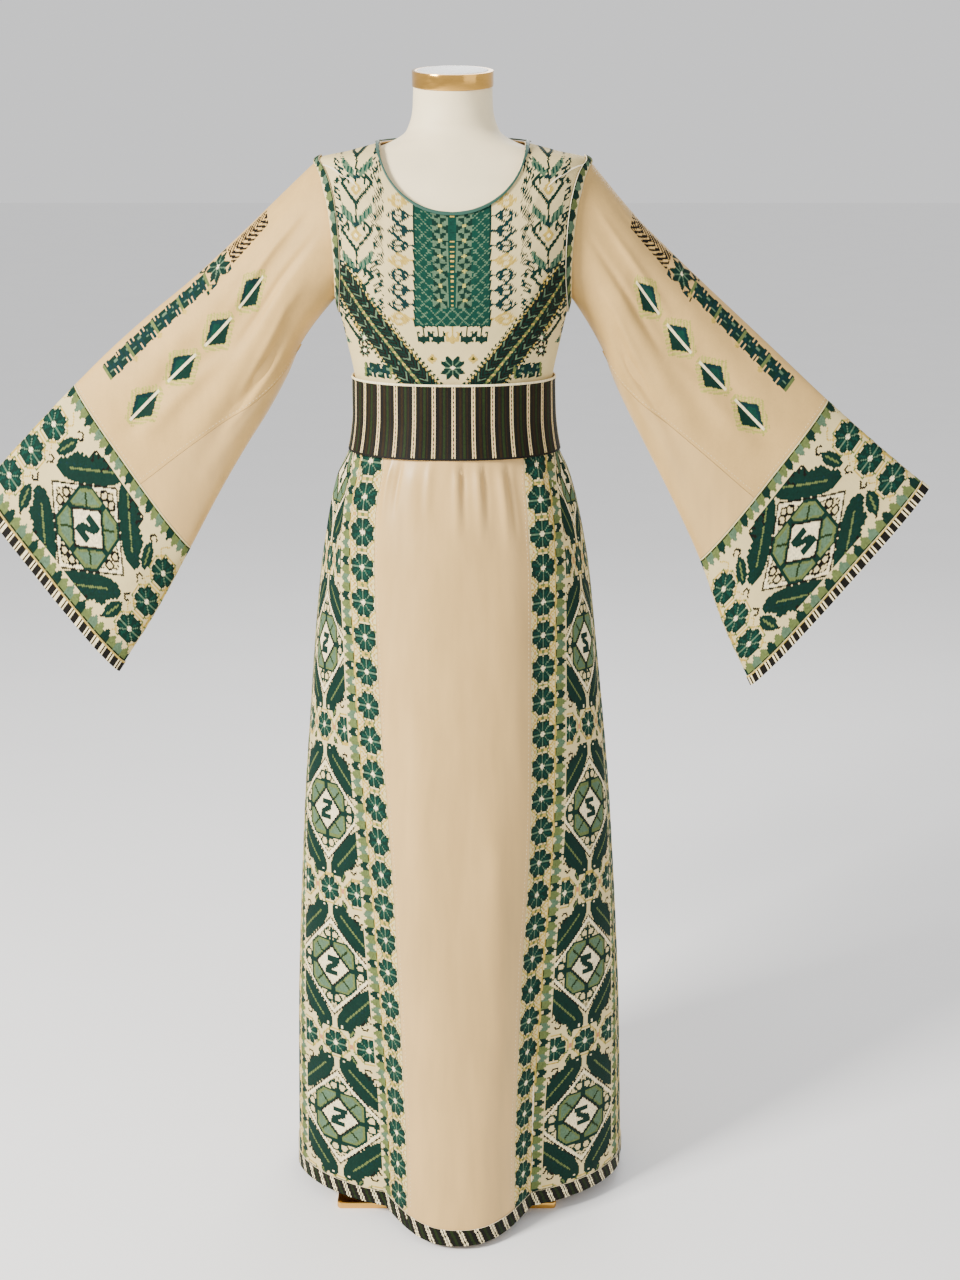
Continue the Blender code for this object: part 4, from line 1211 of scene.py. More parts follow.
@dataclass
class Bodice:
    """The embroidered front, the plain back, the neck binding and the armhole strips."""
    skin: FormSkin
    finishes: Finishes
    waist_row: float = 3.833
    underarm_row: float = 5.84
    shoulder_row: float = 8.98
    neck_row: float = 10.89
    back_neck_row: float = 10.20
    armhole_swing: float = math.radians(27.0)
    armhole_pull: float = 2.5
    ease: float = 0.0008
    neck_half_width: float = 0.090
    neck_ridge: float = 1.4385
    neck_drop: float = 0.0835
    side_rows: int = 74
    armhole_rows: int = 96
    shoulder_rows: int = 38
    half_columns: int = 100
    trim_width: float = 0.0155
    trim_margin: float = 0.0014
    turn_reach: float = 0.090
    row_reach: float = 0.045
    binding_width: float = 0.0048
    binding_rows: float = 0.3
    relief: float = 0.0003
    panel_half: float = 0.0475
    panel_foot: float = 1.2175
    core_half: float = 0.0245
    core_foot: float = 1.2405
    bud_pitch: float = 0.0178
    bud_top: float = 1.369
    column_centre: float = 0.1225
    column_top: float = 1.4205
    column_pitch: float = 0.0555
    column_foot: float = 1.19
    band_start: tuple = (0.132, 1.254)
    band_run: tuple = (-0.091, -0.109)
    star_height: float = 1.166
    lozenge_place: tuple = (0.0255, 1.177)
    small_stars: tuple = ((0.1140, 1.2000), (0.1140, 1.1840))
    comb_place: tuple = (0.0960, 1.1590)
    samples: int = 400
    sample_row: float = 6.6
    neck_samples: int = 160
    neck_halvings: int = 40
    trim_steps: int = 288
    trim_repeat: int = 228
    binding_swell: float = 0.0005
    creases: tuple = (
        Crease(-0.120, 1.300, -0.075, 1.235, 0.0060, 0.0011, 0.006),
        Crease(0.126, 1.296, 0.082, 1.222, 0.0055, 0.0012, -0.005),
        Crease(-0.105, 1.215, -0.060, 1.160, 0.0050, -0.0010, 0.004),
        Crease(0.098, 1.205, 0.048, 1.158, 0.0060, -0.0009, -0.004),
        Crease(-0.125, 1.385, -0.085, 1.335, 0.0060, 0.0010, 0.005),
        Crease(0.118, 1.392, 0.088, 1.332, 0.0055, 0.0010, -0.004),
        Crease(-0.070, 1.180, 0.010, 1.152, 0.0045, 0.0008, 0.003),
    )
    back_creases: tuple = (
        Crease(-0.110, 1.330, -0.050, 1.240, 0.0080, 0.0014, 0.008),
        Crease(0.115, 1.335, 0.050, 1.235, 0.0075, 0.0013, -0.008),
        Crease(-0.080, 1.200, 0.020, 1.165, 0.0060, 0.0012, 0.004),
        Crease(0.085, 1.215, 0.010, 1.170, 0.0055, -0.0011, -0.004),
        Crease(-0.045, 1.390, 0.048, 1.384, 0.0080, -0.0010, -0.006),
        Crease(-0.100, 1.160, -0.040, 1.150, 0.0050, 0.0010, 0.002),
    )

    def armhole(self, turn: np.ndarray, width: np.ndarray | float = 0.0) -> tuple:
        """Angle and row of the armhole's edge, or of a copy that stands a width outside it.

        Args:
            turn: how far round the armhole, from its top.
            width: distance outside the edge, in metres.

        Returns:
            Angles and rows.
        """
        middle = (self.shoulder_row + self.underarm_row) / 2
        reach = (self.shoulder_row - self.underarm_row) / 2 + width / self.row_reach
        swing = self.armhole_swing + width / self.turn_reach
        return QUARTER - swing * np.sin(turn), middle + reach * np.cos(turn)

    def neckline(self, angle: np.ndarray, ahead: bool) -> np.ndarray:
        """Rows that the neckline crosses at some angles from the middle of front or back.

        Args:
            angle: how far from the middle.
            ahead: True for the front, False for the back.

        Returns:
            The rows.
        """
        if not ahead:
            return self.neck_row - (self.neck_row - self.back_neck_row) * np.cos(angle)
        turns = np.linspace(0, QUARTER - 1e-4, self.neck_samples)
        x = self.neck_half_width * np.sin(turns)
        z = self.neck_ridge - self.neck_drop * np.cos(turns)
        low, high = np.full(turns.shape, self.waist_row), np.full(turns.shape, self.neck_row)
        for _ in range(self.neck_halvings):
            row = (low + high) / 2
            side = self.skin.column(0, row)
            found = np.arcsin(np.minimum(x / side, 1.0) ** (self.skin.column(6, row) / 2))
            below = (self.skin.point(found, row)[:, 2] < z) & (x < side)
            low, high = np.where(below, row, low), np.where(below, high, row)
        return np.interp(angle, np.append(found, QUARTER), np.append(row, self.neck_row))

    def edge(self) -> tuple:
        """Angles and rows down the side edge: side seam, armhole and shoulder, from the waist.

        Returns:
            Angles and rows.
        """
        seam = np.linspace(self.waist_row, self.underarm_row, self.side_rows, endpoint=False)
        turns = np.linspace(math.pi, 0, self.armhole_rows, endpoint=False)
        hole_angle, hole_row = self.armhole(turns)
        ridge = np.linspace(self.shoulder_row, self.neck_row, self.shoulder_rows + 1)
        angle = np.concatenate((np.full(seam.shape, QUARTER), hole_angle, np.full(ridge.shape, QUARTER)))
        return angle, np.concatenate((seam, hole_row, ridge))

    def half(self, ahead: bool) -> np.ndarray:
        """Outer face of one half, from the middle to the edge and from the waist up.

        Args:
            ahead: True for the front, False for the back.

        Returns:
            The half's points, in rows and columns.
        """
        sample = np.linspace(0, QUARTER, self.samples)
        chest = self.skin.point(sample, np.full(self.samples, self.sample_row))
        shares = even_shares(chest, self.half_columns)
        necks = self.neckline(QUARTER * shares, ahead)
        edge_angle, edge_row = self.edge()
        climb = ((edge_row - self.waist_row) / (self.neck_row - self.waist_row))[:, None]
        angle = QUARTER * shares - (QUARTER - edge_angle[:, None]) * shares ** self.armhole_pull
        row = self.waist_row + climb * (necks - self.waist_row)
        turned = angle if ahead else math.pi - angle
        return self.skin.offset(turned, row, LAY_GAP + WALL + self.ease * (1 - climb) + 0 * angle)

    def whole(self, ahead: bool) -> np.ndarray:
        """Both halves as one grid that faces outwards.

        Args:
            ahead: True for the front, False for the back.

        Returns:
            The points of both halves.
        """
        half = self.half(ahead)
        grid = np.concatenate(((half * (-1, 1, 1))[:, :0:-1], half), axis=1)
        return grid if ahead else grid[:, ::-1]

    def build(self) -> None:
        """Build the bodice's pieces."""
        self.build_front()
        self.build_back()
        self.build_trims()
        self.build_binding()

    def build_front(self) -> None:
        """The embroidered front."""
        grid = drawn_in(self.whole(True), SEAM_GAP)
        cloth = Cloth("bodice_front_cloth", grid, stride=5)
        _, centre = cloth.cells()
        x = centre[..., 0]
        canvas = Canvas(x * (1 + 0.10 * (x / 0.15) ** 4), centre[..., 2])
        self.paint(canvas)
        colours = canvas.colours(seed=11)
        cloth.grid = cloth.grid + crease_field(grid, self.creases)[..., None] * grid_normals(grid, False)
        cloth.raise_stitches(colours[..., 3], self.relief)
        wear(cloth, self.finishes.embroidery, "bodice_embroidery", "bodice_front",
             colours)

    def paint(self, canvas: Canvas) -> None:
        """Lay out the front: side columns, bud rows, chest panel, pointed bands and a star.

        Args:
            canvas: where to draw.
        """
        s, z = canvas.across, canvas.along
        u, v = abs(s) / STITCH, z / STITCH
        self.paint_columns(canvas)
        self.paint_buds(canvas)
        self.paint_pointed_bands(canvas)
        inside = (abs(s) < self.panel_half) & (z > self.panel_foot)
        canvas.lay(inside, Thread.TEAL)
        border = inside & ((abs(s) > self.core_half) | (z < self.core_foot))
        lattice = (abs((u + v) % 7.0 - 3.5) < 0.42) | (abs((u - v) % 7.0 - 3.5) < 0.42)
        canvas.lay(border & lattice, Thread.GREY_GREEN)
        canvas.lay(inside & ((u > 22.8) | (v < 1.2185 / STITCH)), Thread.DARK_GREEN)
        core = inside & (abs(s) < self.core_half) & (z > self.core_foot)
        wheel_u, wheel_v = u - 7.4, (v - self.core_foot / STITCH) % 9.0 - 4.5
        pin = (wheel_u * wheel_v > 0) ^ (abs(wheel_u) > abs(wheel_v))
        canvas.lay(core, Thread.DARK_GREEN)
        canvas.lay(core & (abs(wheel_u) < 4.3) & pin, Thread.GREY_GREEN)
        canvas.lay(core & (abs(wheel_u) + abs(wheel_v) < 1.5), Thread.LIME)
        canvas.lay(core & (abs(abs(wheel_u) - 4.8) < 0.5), Thread.GREY_GREEN)
        canvas.lay(core & (u < 2.4), Thread.TEAL)
        canvas.lay(core & (u < 0.7) & (np.floor(v) % 3 == 0), Thread.STRAW)
        canvas.lay((abs(u - 12.4) < 0.6) & core, Thread.TEAL)
        for number in range(5):
            p = (s - (number - 2) * self.bud_pitch) / STITCH
            q = (self.panel_foot - z) / STITCH
            thread = Thread.STRAW if number == 2 else Thread.DARK_GREEN
            canvas.lay((abs(p) < 0.6) & (q > 0) & (q < 10), thread)
            canvas.lay(abs(p) + abs(q - 8.0) < 3.2, thread)
            canvas.lay((abs(np.hypot(p, q - 5.0) - 3.6) < 0.7) & (q > 3.0), thread)
            canvas.lay((abs(abs(p) - 2.9) < 1.0) & (abs(q - 7.8) < 1.8), thread)

    def paint_buds(self, canvas: Canvas) -> None:
        """Draw the row of buds that stand out from both sides of the chest panel.

        Args:
            canvas: where to draw.
        """
        s, z = canvas.across, canvas.along
        p = (abs(s) - self.panel_half) / STITCH
        for row in range(9):
            q = (z - (self.bud_top - row * self.bud_pitch)) / STITCH
            thread = Thread.STRAW if row in (0, 4, 8) else Thread.BLUE_GREEN
            near = abs(q) < 4.4
            canvas.lay(near & (abs(q) < 0.55) & (p > 0) & (p < 13.5), thread)
            canvas.lay(near & (abs(p - 5.4) + abs(q) < 3.3), thread)
            canvas.lay(near & (abs(p - 5.4) + abs(q) < 1.1), Thread.GROUND)
            canvas.lay(near & (abs(np.hypot(p - 9.4, q) - 3.6) < 0.75) & (p < 12.0), thread)
            canvas.lay(near & (abs(p - 12.6) + abs(abs(q) - 1.6) < 1.7), thread)
            canvas.lay(near & (abs(p - 15.2) + abs(q) < 1.5), thread)

    def paint_columns(self, canvas: Canvas) -> None:
        """Draw the tall columns beside the arms: open hearts, flowers, hatched wings and feathers.

        Args:
            canvas: where to draw.
        """
        s, z = canvas.across, canvas.along
        a = abs((abs(s) - self.column_centre) / STITCH)
        for number in range(5):
            w = (z - (self.column_top - number * self.column_pitch)) / STITCH
            near = (w > -15.0) & (w <= 17.6) & (z > self.column_foot)
            heart = (abs(w - 1.05 * a) < 1.6) & (a < 11.5)
            hook = (abs(w - 12.0 - (11.5 - a) * 0.9) < 1.5) & (a > 6.0) & (a < 12.3)
            tail = (abs(a - 6.0) < 1.0) & (w > 11.5) & (w < 16.5)
            canvas.lay(near & (heart | hook | tail), Thread.DARK_GREEN)
            canvas.lay(near & (a < 0.8) & (w < 0.0), Thread.DARK_GREEN)
            canvas.lay(near & (a + abs(w - 8.6) < 4.4), Thread.STRAW)
            canvas.lay(near & (a + abs(w - 8.6) < 1.4), Thread.IVORY)
            wing = (a > 1.6) & (a < 11.6) & (abs(w + 11.5 - 0.84 * (a - 1.0)) < 3.0)
            canvas.lay(near & wing, Thread.GREY_GREEN)
            canvas.lay(near & wing & (np.floor(a) % 3 == 0), Thread.TEAL)
            for low, start in ((-12.0, 10.0), (2.0, 12.0)):
                rise = w - low - 1.1 * (a - start)
                feather = (a > start) & (a < 18.6) & (abs(rise) < 4.2)
                canvas.lay(near & feather & (np.floor((w - 0.5 * a) / 1.4) % 2 == 0), Thread.BLUE_GREEN)
                canvas.lay(near & feather & (abs(rise) < 0.8), Thread.DARK_GREEN)
            canvas.lay(near & (abs(a - 15.6) + abs(w - 13.4) < 2.4), Thread.DARK_GREEN)
            canvas.lay(near & (a < 2.6) & (abs(w - 15.6) < 1.2), Thread.BLUE_GREEN)

    def paint_pointed_bands(self, canvas: Canvas) -> None:
        """Draw the two bands that run down to a point over the belt, and what lies beside.

        Args:
            canvas: where to draw.
        """
        s, z = canvas.across, canvas.along
        run = np.array(self.band_run)
        run = run / np.linalg.norm(run)
        x, y = abs(s) - self.band_start[0], z - self.band_start[1]
        u, w = (x * run[0] + y * run[1]) / STITCH, (x * -run[1] + y * run[0]) / STITCH
        band = (abs(w) < 9.6) & (u > -18)
        teeth = (abs(w) < 11.4) & (u > -18) & (np.floor(u / 1.7) % 2 == 0)
        canvas.lay(band | teeth, Thread.DARK_GREEN)
        herring = np.floor((u + abs(abs(w) - 5.0) * 1.2) / 1.4)
        canvas.lay(band & (abs(abs(w) - 5.0) < 3.6) & (herring % 2 == 0), Thread.BLACK_BROWN)
        canvas.lay(band & (abs(abs(w) - 5.0) < 3.0) & (herring % 6 == 3), Thread.GREY_GREEN)
        canvas.lay(band & (abs(w) < 0.8), Thread.SAGE)
        canvas.lay(band & (abs(w) < 0.8) & (np.floor(u / 1.5) % 3 == 0), Thread.STRAW)
        canvas.lay(band & (abs(abs(w) - 9.0) < 0.6) & (np.floor(u / 1.5) % 2 == 0), Thread.STRAW)
        Motif.star(canvas, *canvas.local(0.0, self.star_height), 7.4)
        for side in (-1, 1):
            lozenge = abs(s - side * self.lozenge_place[0]) + abs(z - self.lozenge_place[1])
            canvas.lay(lozenge < 0.0068, Thread.STRAW)
            canvas.lay(lozenge < 0.0024, Thread.MOSS)
            for across, height in self.small_stars:
                Motif.star(canvas, *canvas.local(side * across, height), 4.2, Thread.BLACK_BROWN)
            Motif.comb(canvas, *canvas.local(side * self.comb_place[0], self.comb_place[1]), 9.0)

    def build_back(self) -> None:
        """The plain back."""
        grid = drawn_in(self.whole(False), SEAM_GAP)
        grid = grid + crease_field(grid, self.back_creases)[..., None] * grid_normals(grid, False)
        cloth = Cloth("bodice_back_cloth", grid[::2, ::2], stride=4)
        wear(cloth, self.finishes.satin, "cream_satin", "bodice_back")

    def build_trims(self) -> None:
        """The saw-toothed strip round each armhole."""
        turns = np.linspace(math.pi, -math.pi, self.trim_steps, endpoint=False)
        margin = self.trim_margin * (2 - np.cos(turns))
        height = LAY_GAP + WALL + STRIP_GAP + TRIM_WALL
        rows = []
        for share in np.linspace(0, 1, 9):
            width = self.trim_width + (margin - self.trim_width) * share
            angle, row = self.armhole(turns, width)
            rows.append(self.skin.offset(angle, row, np.full(turns.shape, height)))
        ring = np.array(rows)[::-1]
        for side, grid in (("right", ring), ("left", (ring * (-1, 1, 1))[:, ::-1])):
            cloth = Cloth(f"armhole_strip_{side}", grid, True, TRIM_WALL, 4)
            across, _ = cloth.cells()
            depth = np.broadcast_to(np.arange(grid.shape[0] - 1)[:, None] + 0.5, across.shape)
            canvas = Canvas(across, depth * STITCH)
            share = (np.arange(across.shape[1])[None, :] + 0.5) / across.shape[1]
            along = share * self.trim_repeat + 0 * across
            Motif.saw(canvas, 8 - depth, along, 8.0, 4.75, 0.55, TRIM_THREADS)
            colours = canvas.colours(seed=31)
            cloth.raise_stitches(colours[..., 3], self.relief)
            wear(cloth, self.finishes.embroidery, "trim_embroidery", f"armhole_trim_{side}",
                 colours)

    def build_binding(self) -> None:
        """The narrow dark binding round the neckline."""
        angles = np.linspace(0, QUARTER, 90)
        front = self.neckline(angles, True)
        back = self.neckline(angles, False)
        angle = np.concatenate((angles, (math.pi - angles)[::-1][1:]))
        row = np.concatenate((front, back[::-1][1:]))
        height = np.full(angle.shape, LAY_GAP + WALL + STRIP_GAP + TRIM_WALL)
        top = self.skin.offset(angle, row, height)
        below = self.skin.offset(angle, row - self.binding_rows, height)
        fall = (below - top) / np.linalg.norm(below - top, axis=1, keepdims=True)
        lines = [top + fall * (self.binding_width + (SEAM_GAP - self.binding_width) * share)
                 for share in np.linspace(0, 1, 5)]
        right = np.array(lines)
        swell = np.sin(np.linspace(0, math.pi, 5))[:, None] * self.binding_swell
        ring = np.concatenate((right, (right * (-1, 1, 1))[:, -2:0:-1]), axis=1)
        ring = ring + swell[..., None] * grid_normals(ring, True)
        cloth = Cloth("neckline_binding", ring, True, TRIM_WALL, 3)
        wear(cloth, self.finishes.binding, "green_binding", "neck_binding")


@dataclass
class Belt:
    """The striped belt over the waist seam, with a cream piping on its upper edge."""
    finishes: Finishes
    rows: tuple = ((1.1450, 0.1318, 0.1035, 0.0935), (1.0975, 0.1325, 0.1038, 0.0945),
                   (1.0720, 0.1350, 0.1056, 0.0970), (1.0500, 0.1390, 0.1095, 0.1022))
    square: float = 2.25
    samples: int = 1441
    columns: int = 480
    lines: int = 36
    girth: float = 0.756
    repeats: int = 30
    foot: float = 1.0500
    top: float = 1.1450
    outline: tuple = (0.133, 0.099)
    first_stripe: float = 0.0625
    rung: float = 0.0024
    ladder_middle: float = 0.09375
    ladder_half: float = 0.03125
    piping_foot: float = 1.1415
    dark_top: float = 1.0525
    roll: tuple = (1.1432, 0.0016, 0.0012)
    ripple: float = 0.0007
    ripple_top: float = 1.135
    stripes: tuple = ((0.1875, Thread.GROUND), (0.1875, Thread.BLACK_BROWN), (0.125, Thread.BROWN),
                      (0.0625, Thread.BLACK_BROWN), (0.125, Thread.MOSS), (0.0625, Thread.BLACK_BROWN),
                      (0.0625, Thread.BROWN), (0.1875, Thread.BLACK_BROWN))

    def build(self) -> None:
        """Build the belt as a closed band."""
        z = np.linspace(self.foot, self.top, self.lines + 1)[:, None]
        heights = [row[0] for row in self.rows]
        half_width, front, back = (table_column(self.rows, i, z, heights) for i in (1, 2, 3))
        sample = np.linspace(0, FULL_TURN, self.samples)
        exponent = 2.0 / self.square
        curve = np.stack((self.outline[0] * power(np.sin(sample), exponent),
                          -self.outline[1] * power(np.cos(sample), exponent)), axis=1)
        angle = (even_shares(curve, self.columns) * FULL_TURN)[:-1]
        depth = np.where(np.cos(angle) >= 0, front, back)
        grid = np.stack((half_width * power(np.sin(angle), exponent),
                         -depth * power(np.cos(angle), exponent), z + 0 * angle), axis=2)
        cloth = Cloth("striped_belt", grid, True, WALL, 5)
        _, centre = cloth.cells()
        height = centre[..., 2]
        share = (np.arange(self.columns) + 0.5)[None, :] / self.columns + 0 * height
        canvas = Canvas(share * self.girth, height)
        place = (share * self.repeats + self.first_stripe) % 1.0
        banded(place, self.stripes, canvas)
        middle = (place < self.stripes[0][0]) & (abs(place - self.ladder_middle) < self.ladder_half)
        canvas.lay(middle, Thread.BLACK_BROWN)
        canvas.lay(middle & (np.floor(height / self.rung) % 2 == 0), Thread.PINK)
        canvas.lay(height > self.piping_foot, Thread.IVORY)
        canvas.lay(height < self.dark_top, Thread.BLACK_BROWN)
        colours = canvas.colours(seed=41)
        crest, width, rise = self.roll
        roll = np.exp(-((grid[..., 2] - crest) / width) ** 2) * rise
        ripple = self.ripple * np.sin(angle * 9 + 3.1 * np.sin(angle * 2))
        ripple = ripple * eased((self.ripple_top - grid[..., 2]) / 0.05)
        cloth.grid = grid + (roll + ripple)[..., None] * grid_normals(grid, True)
        wear(cloth, self.finishes.stripes, "belt_stripe", "belt",
             colours)


class Fold(NamedTuple):
    """A soft ridge, or a trough where height is negative, that runs down the skirt."""
    angle: float
    width: float
    height: float
    top: float
    bottom: float


@dataclass
class Skirt:
    """The four panels of the skirt and the striped band at its hem."""
    finishes: Finishes
    rows: tuple = (
        (1.0976, 0.1285, 0.0990, 0.0895, 0.000, 0.110, 0.085, 0.086),
        (1.0500, 0.1368, 0.1062, 0.0990, 0.001, 0.112, 0.089, 0.089),
        (1.0200, 0.1500, 0.1110, 0.1080, 0.002, 0.114, 0.095, 0.092),
        (0.9770, 0.1620, 0.1160, 0.1180, 0.004, 0.116, 0.101, 0.096),
        (0.9000, 0.1765, 0.1220, 0.1300, 0.009, 0.118, 0.102, 0.098),
        (0.8000, 0.1885, 0.1280, 0.1400, 0.015, 0.118, 0.098, 0.098),
        (0.7000, 0.1995, 0.1330, 0.1480, 0.021, 0.116, 0.094, 0.098),
        (0.5800, 0.2105, 0.1400, 0.1560, 0.029, 0.113, 0.087, 0.097),
        (0.4700, 0.2180, 0.1450, 0.1610, 0.035, 0.110, 0.081, 0.092),
        (0.3700, 0.2240, 0.1500, 0.1650, 0.041, 0.107, 0.077, 0.086),
        (0.2700, 0.2290, 0.1550, 0.1680, 0.047, 0.104, 0.073, 0.082),
        (0.1300, 0.2330, 0.1620, 0.1710, 0.055, 0.102, 0.069, 0.077),
        (0.0120, 0.2355, 0.1680, 0.1740, 0.062, 0.100, 0.068, 0.076),
    )
    lean: float = 0.0045
    hem_rise: float = 0.009
    hem_drop: float = 0.005
    hem_reach: float = 0.35
    back_seam: float = math.radians(103.0)
    lines: int = 480
    side_columns: int = 172
    held_width: float = 0.0576
    held_step: float = 0.0016
    free_step: float = 0.00150
    band_height: float = 0.0215
    relief: float = 0.0003
    fine_depth: float = 2.4
    foot: float = 0.0120
    top: float = 1.0976
    samples: int = 241
    front_columns: int = 112
    back_columns: int = 140
    plain_step: int = 4
    seam_reach: tuple = (0.045, 1.040)
    seam_samples: int = 260
    stitch_inset: float = 0.020
    stitch_spacing: float = 0.0056
    fade_in: float = 0.25
    open_end: float = 0.0325
    medallion_centre: float = 0.1125
    medallion_column: tuple = (0.0570, 0.1690)
    medallion_heights: tuple = (1.02, 0.80, 0.575, 0.355, 0.135)
    saw_edges: tuple = ((0.0402, 1), (0.1860, -1))
    flower_columns: tuple = (0.0198, 0.2060)
    flower_half: float = 0.0202
    lace_line: float = 0.0200
    flower_rows: tuple = (("right", 1.039, 0.0437), ("left", 1.043, 0.0450))
    hem_columns: tuple = (110, 150, 250, 150)
    hem_repeat: float = 0.023
    hem_slant: float = 0.45
    hem_bands: tuple = ((0.10, Thread.IVORY), (0.08, Thread.BLACK_BROWN), (0.10, Thread.IVORY),
                        (0.27, Thread.BLACK_BROWN), (0.17, Thread.MOSS), (0.28, Thread.BLACK_BROWN))
    folds: tuple = (
        Fold(-41.0, 4.2, -0.0045, 1.050, 0.930), Fold(-20.0, 5.0, 0.0030, 1.050, 0.960),
        Fold(7.0, 4.0, -0.0035, 1.050, 0.960), Fold(19.0, 4.5, -0.0045, 1.050, 0.930),
        Fold(34.0, 4.5, -0.0055, 1.050, 0.900), Fold(24.0, 7.0, 0.0040, 1.000, 0.300),
        Fold(-30.0, 8.0, 0.0035, 0.900, 0.250), Fold(66.0, 9.0, 0.0040, 0.950, 0.300),
        Fold(-64.0, 9.0, 0.0040, 0.900, 0.200), Fold(84.0, 8.0, -0.0040, 0.900, 0.010),
        Fold(-86.0, 8.0, -0.0040, 0.850, 0.010), Fold(120.0, 8.0, -0.0070, 1.050, 0.010),
        Fold(-123.0, 8.0, -0.0080, 1.050, 0.010), Fold(136.0, 9.0, 0.0080, 1.040, 0.010),
        Fold(-140.0, 9.0, 0.0080, 1.040, 0.010), Fold(152.0, 8.0, -0.0100, 1.040, 0.010),
        Fold(-156.0, 8.0, -0.0090, 1.040, 0.010), Fold(171.0, 10.0, 0.0090, 1.040, 0.010),
        Fold(-173.0, 9.0, 0.0060, 0.980, 0.010),
    )
    fine_folds: tuple = (
        Fold(-34.0, 1.7, 0.0016, 1.050, 0.965), Fold(-28.5, 1.5, -0.0015, 1.050, 0.975),
        Fold(-12.0, 2.0, 0.0012, 1.050, 0.970), Fold(1.5, 1.8, 0.0014, 1.050, 0.955),
        Fold(5.0, 1.4, -0.0014, 1.050, 0.960), Fold(12.0, 1.8, 0.0015, 1.050, 0.945),
        Fold(16.0, 1.4, -0.0014, 1.050, 0.960), Fold(24.0, 1.8, 0.0016, 1.050, 0.940),
        Fold(29.0, 1.5, -0.0015, 1.050, 0.950), Fold(47.0, 2.4, 0.0018, 1.050, 0.930),
        Fold(58.0, 2.8, -0.0018, 1.050, 0.920), Fold(-52.0, 2.4, 0.0018, 1.050, 0.930),
        Fold(-66.0, 2.8, -0.0018, 1.050, 0.910), Fold(75.0, 2.5, 0.0017, 1.050, 0.930),
        Fold(-80.0, 2.6, 0.0017, 1.050, 0.900), Fold(97.0, 2.6, -0.0016, 1.050, 0.880),
        Fold(-98.0, 2.4, -0.0016, 1.050, 0.900), Fold(112.0, 2.6, 0.0022, 1.050, 0.760),
        Fold(128.0, 2.2, 0.0018, 1.050, 0.820), Fold(144.0, 2.4, -0.0020, 1.050, 0.800),
        Fold(162.0, 2.4, 0.0020, 1.050, 0.720), Fold(178.0, 2.6, -0.0022, 1.050, 0.800),
        Fold(-114.0, 2.6, 0.0020, 1.050, 0.780), Fold(-131.0, 2.4, 0.0020, 1.050, 0.700),
        Fold(-148.0, 2.2, -0.0020, 1.050, 0.820), Fold(-164.0, 2.6, 0.0022, 1.050, 0.740),
        Fold(-14.0, 6.0, 0.0020, 0.780, 0.150), Fold(3.0, 7.0, -0.0016, 0.700, 0.120),
        Fold(14.0, 4.5, 0.0018, 0.620, 0.180),
    )

    def column(self, number: int, z: np.ndarray) -> np.ndarray:
        """Read one column of the table at some heights."""
        return table_column(self.rows, number, z, [row[0] for row in self.rows])

    def fold_height(self, angle: np.ndarray, z: np.ndarray) -> np.ndarray:
        """Add up the folds, each fading in below its top.

        Args:
            angle: how far round, from the front middle.
            z: heights.

        Returns:
            How far each point moves outwards, in metres.
        """
        total = np.zeros(np.broadcast(angle, z).shape)
        for fold in self.folds + self.fine_folds:
            deep = 1.0 if fold in self.folds else self.fine_depth
            centre = math.radians(fold.angle)
            away = np.arctan2(np.sin(angle - centre), np.cos(angle - centre))
            drop = (fold.top - z) / (fold.top - fold.bottom)
            swell = eased(drop / self.fade_in) * (drop > 0)
            fade = 1.0 if fold.bottom < self.open_end else np.clip(1.0 - drop, 0, 1) ** 0.7
            total += fold.height * deep * swell * fade * np.exp(-(away / math.radians(fold.width)) ** 2)
        return total

    def point(self, angle: np.ndarray, z: np.ndarray) -> np.ndarray:
        """Points of the outer face: an ellipse with a forward swell, folds and a lifted hem.

        Args:
            angle: how far round, from the front middle.
            z: heights.

        Returns:
            The points.
        """
        ahead = np.cos(angle) >= 0
        x = self.column(1, z) * np.sin(angle)
        y = -np.where(ahead, self.column(2, z), self.column(3, z)) * np.cos(angle)
        reach = np.minimum(abs(x) / self.column(5, z), 1.0)
        swell = np.where(ahead, (1 - reach ** 2.5) ** 1.15, 0.0)
        y = y - self.column(4, z) * swell
        push = 1.0 + self.fold_height(angle, z) / np.hypot(x, y)
        lean = self.lean * (self.rows[0][0] - z) / self.rows[0][0]
        lift = self.hem_rise - (self.hem_rise + self.hem_drop) * swell
        lift = lift * np.clip(1.0 - z / self.hem_reach, 0, None) ** 2
        return np.stack((x * push + lean, y * push, z + lift), axis=-1)

    def seams(self, z: np.ndarray) -> tuple:
        """Angles of the two front seams at some heights."""
        half_width = self.column(1, z)
        return -np.arcsin(self.column(6, z) / half_width), np.arcsin(self.column(7, z) / half_width)

    def panel(self, start: np.ndarray, end: np.ndarray, z: np.ndarray, columns: int,
              held: float = 0.0, step: float = 0.0) -> np.ndarray:
        """Grid of one panel between two seams.

        Args:
            start: angle of the first seam at each height.
            end: angle of the last seam at each height.
            z: the heights.
            columns: how many columns the panel has.
            held: width at the first seam whose columns keep a fixed size.
            step: the fixed size, or 0 where all columns share the width evenly.

        Returns:
            The grid, with one row of points for each height.
        """
        fine = np.linspace(0, 1, self.samples)[None, :]
        angle = start[:, None] + (end - start)[:, None] * fine
        curves = self.point(angle, z[:, None] + 0 * angle)
        marks = np.linspace(0, 1, columns - (round(held / step) if step else 0) + 1)
        shares = np.array([shares_at(curve, marks, held, step) for curve in curves])
        even = start[:, None] + (end - start)[:, None] * shares
        return self.point(even, z[:, None] + 0 * even)

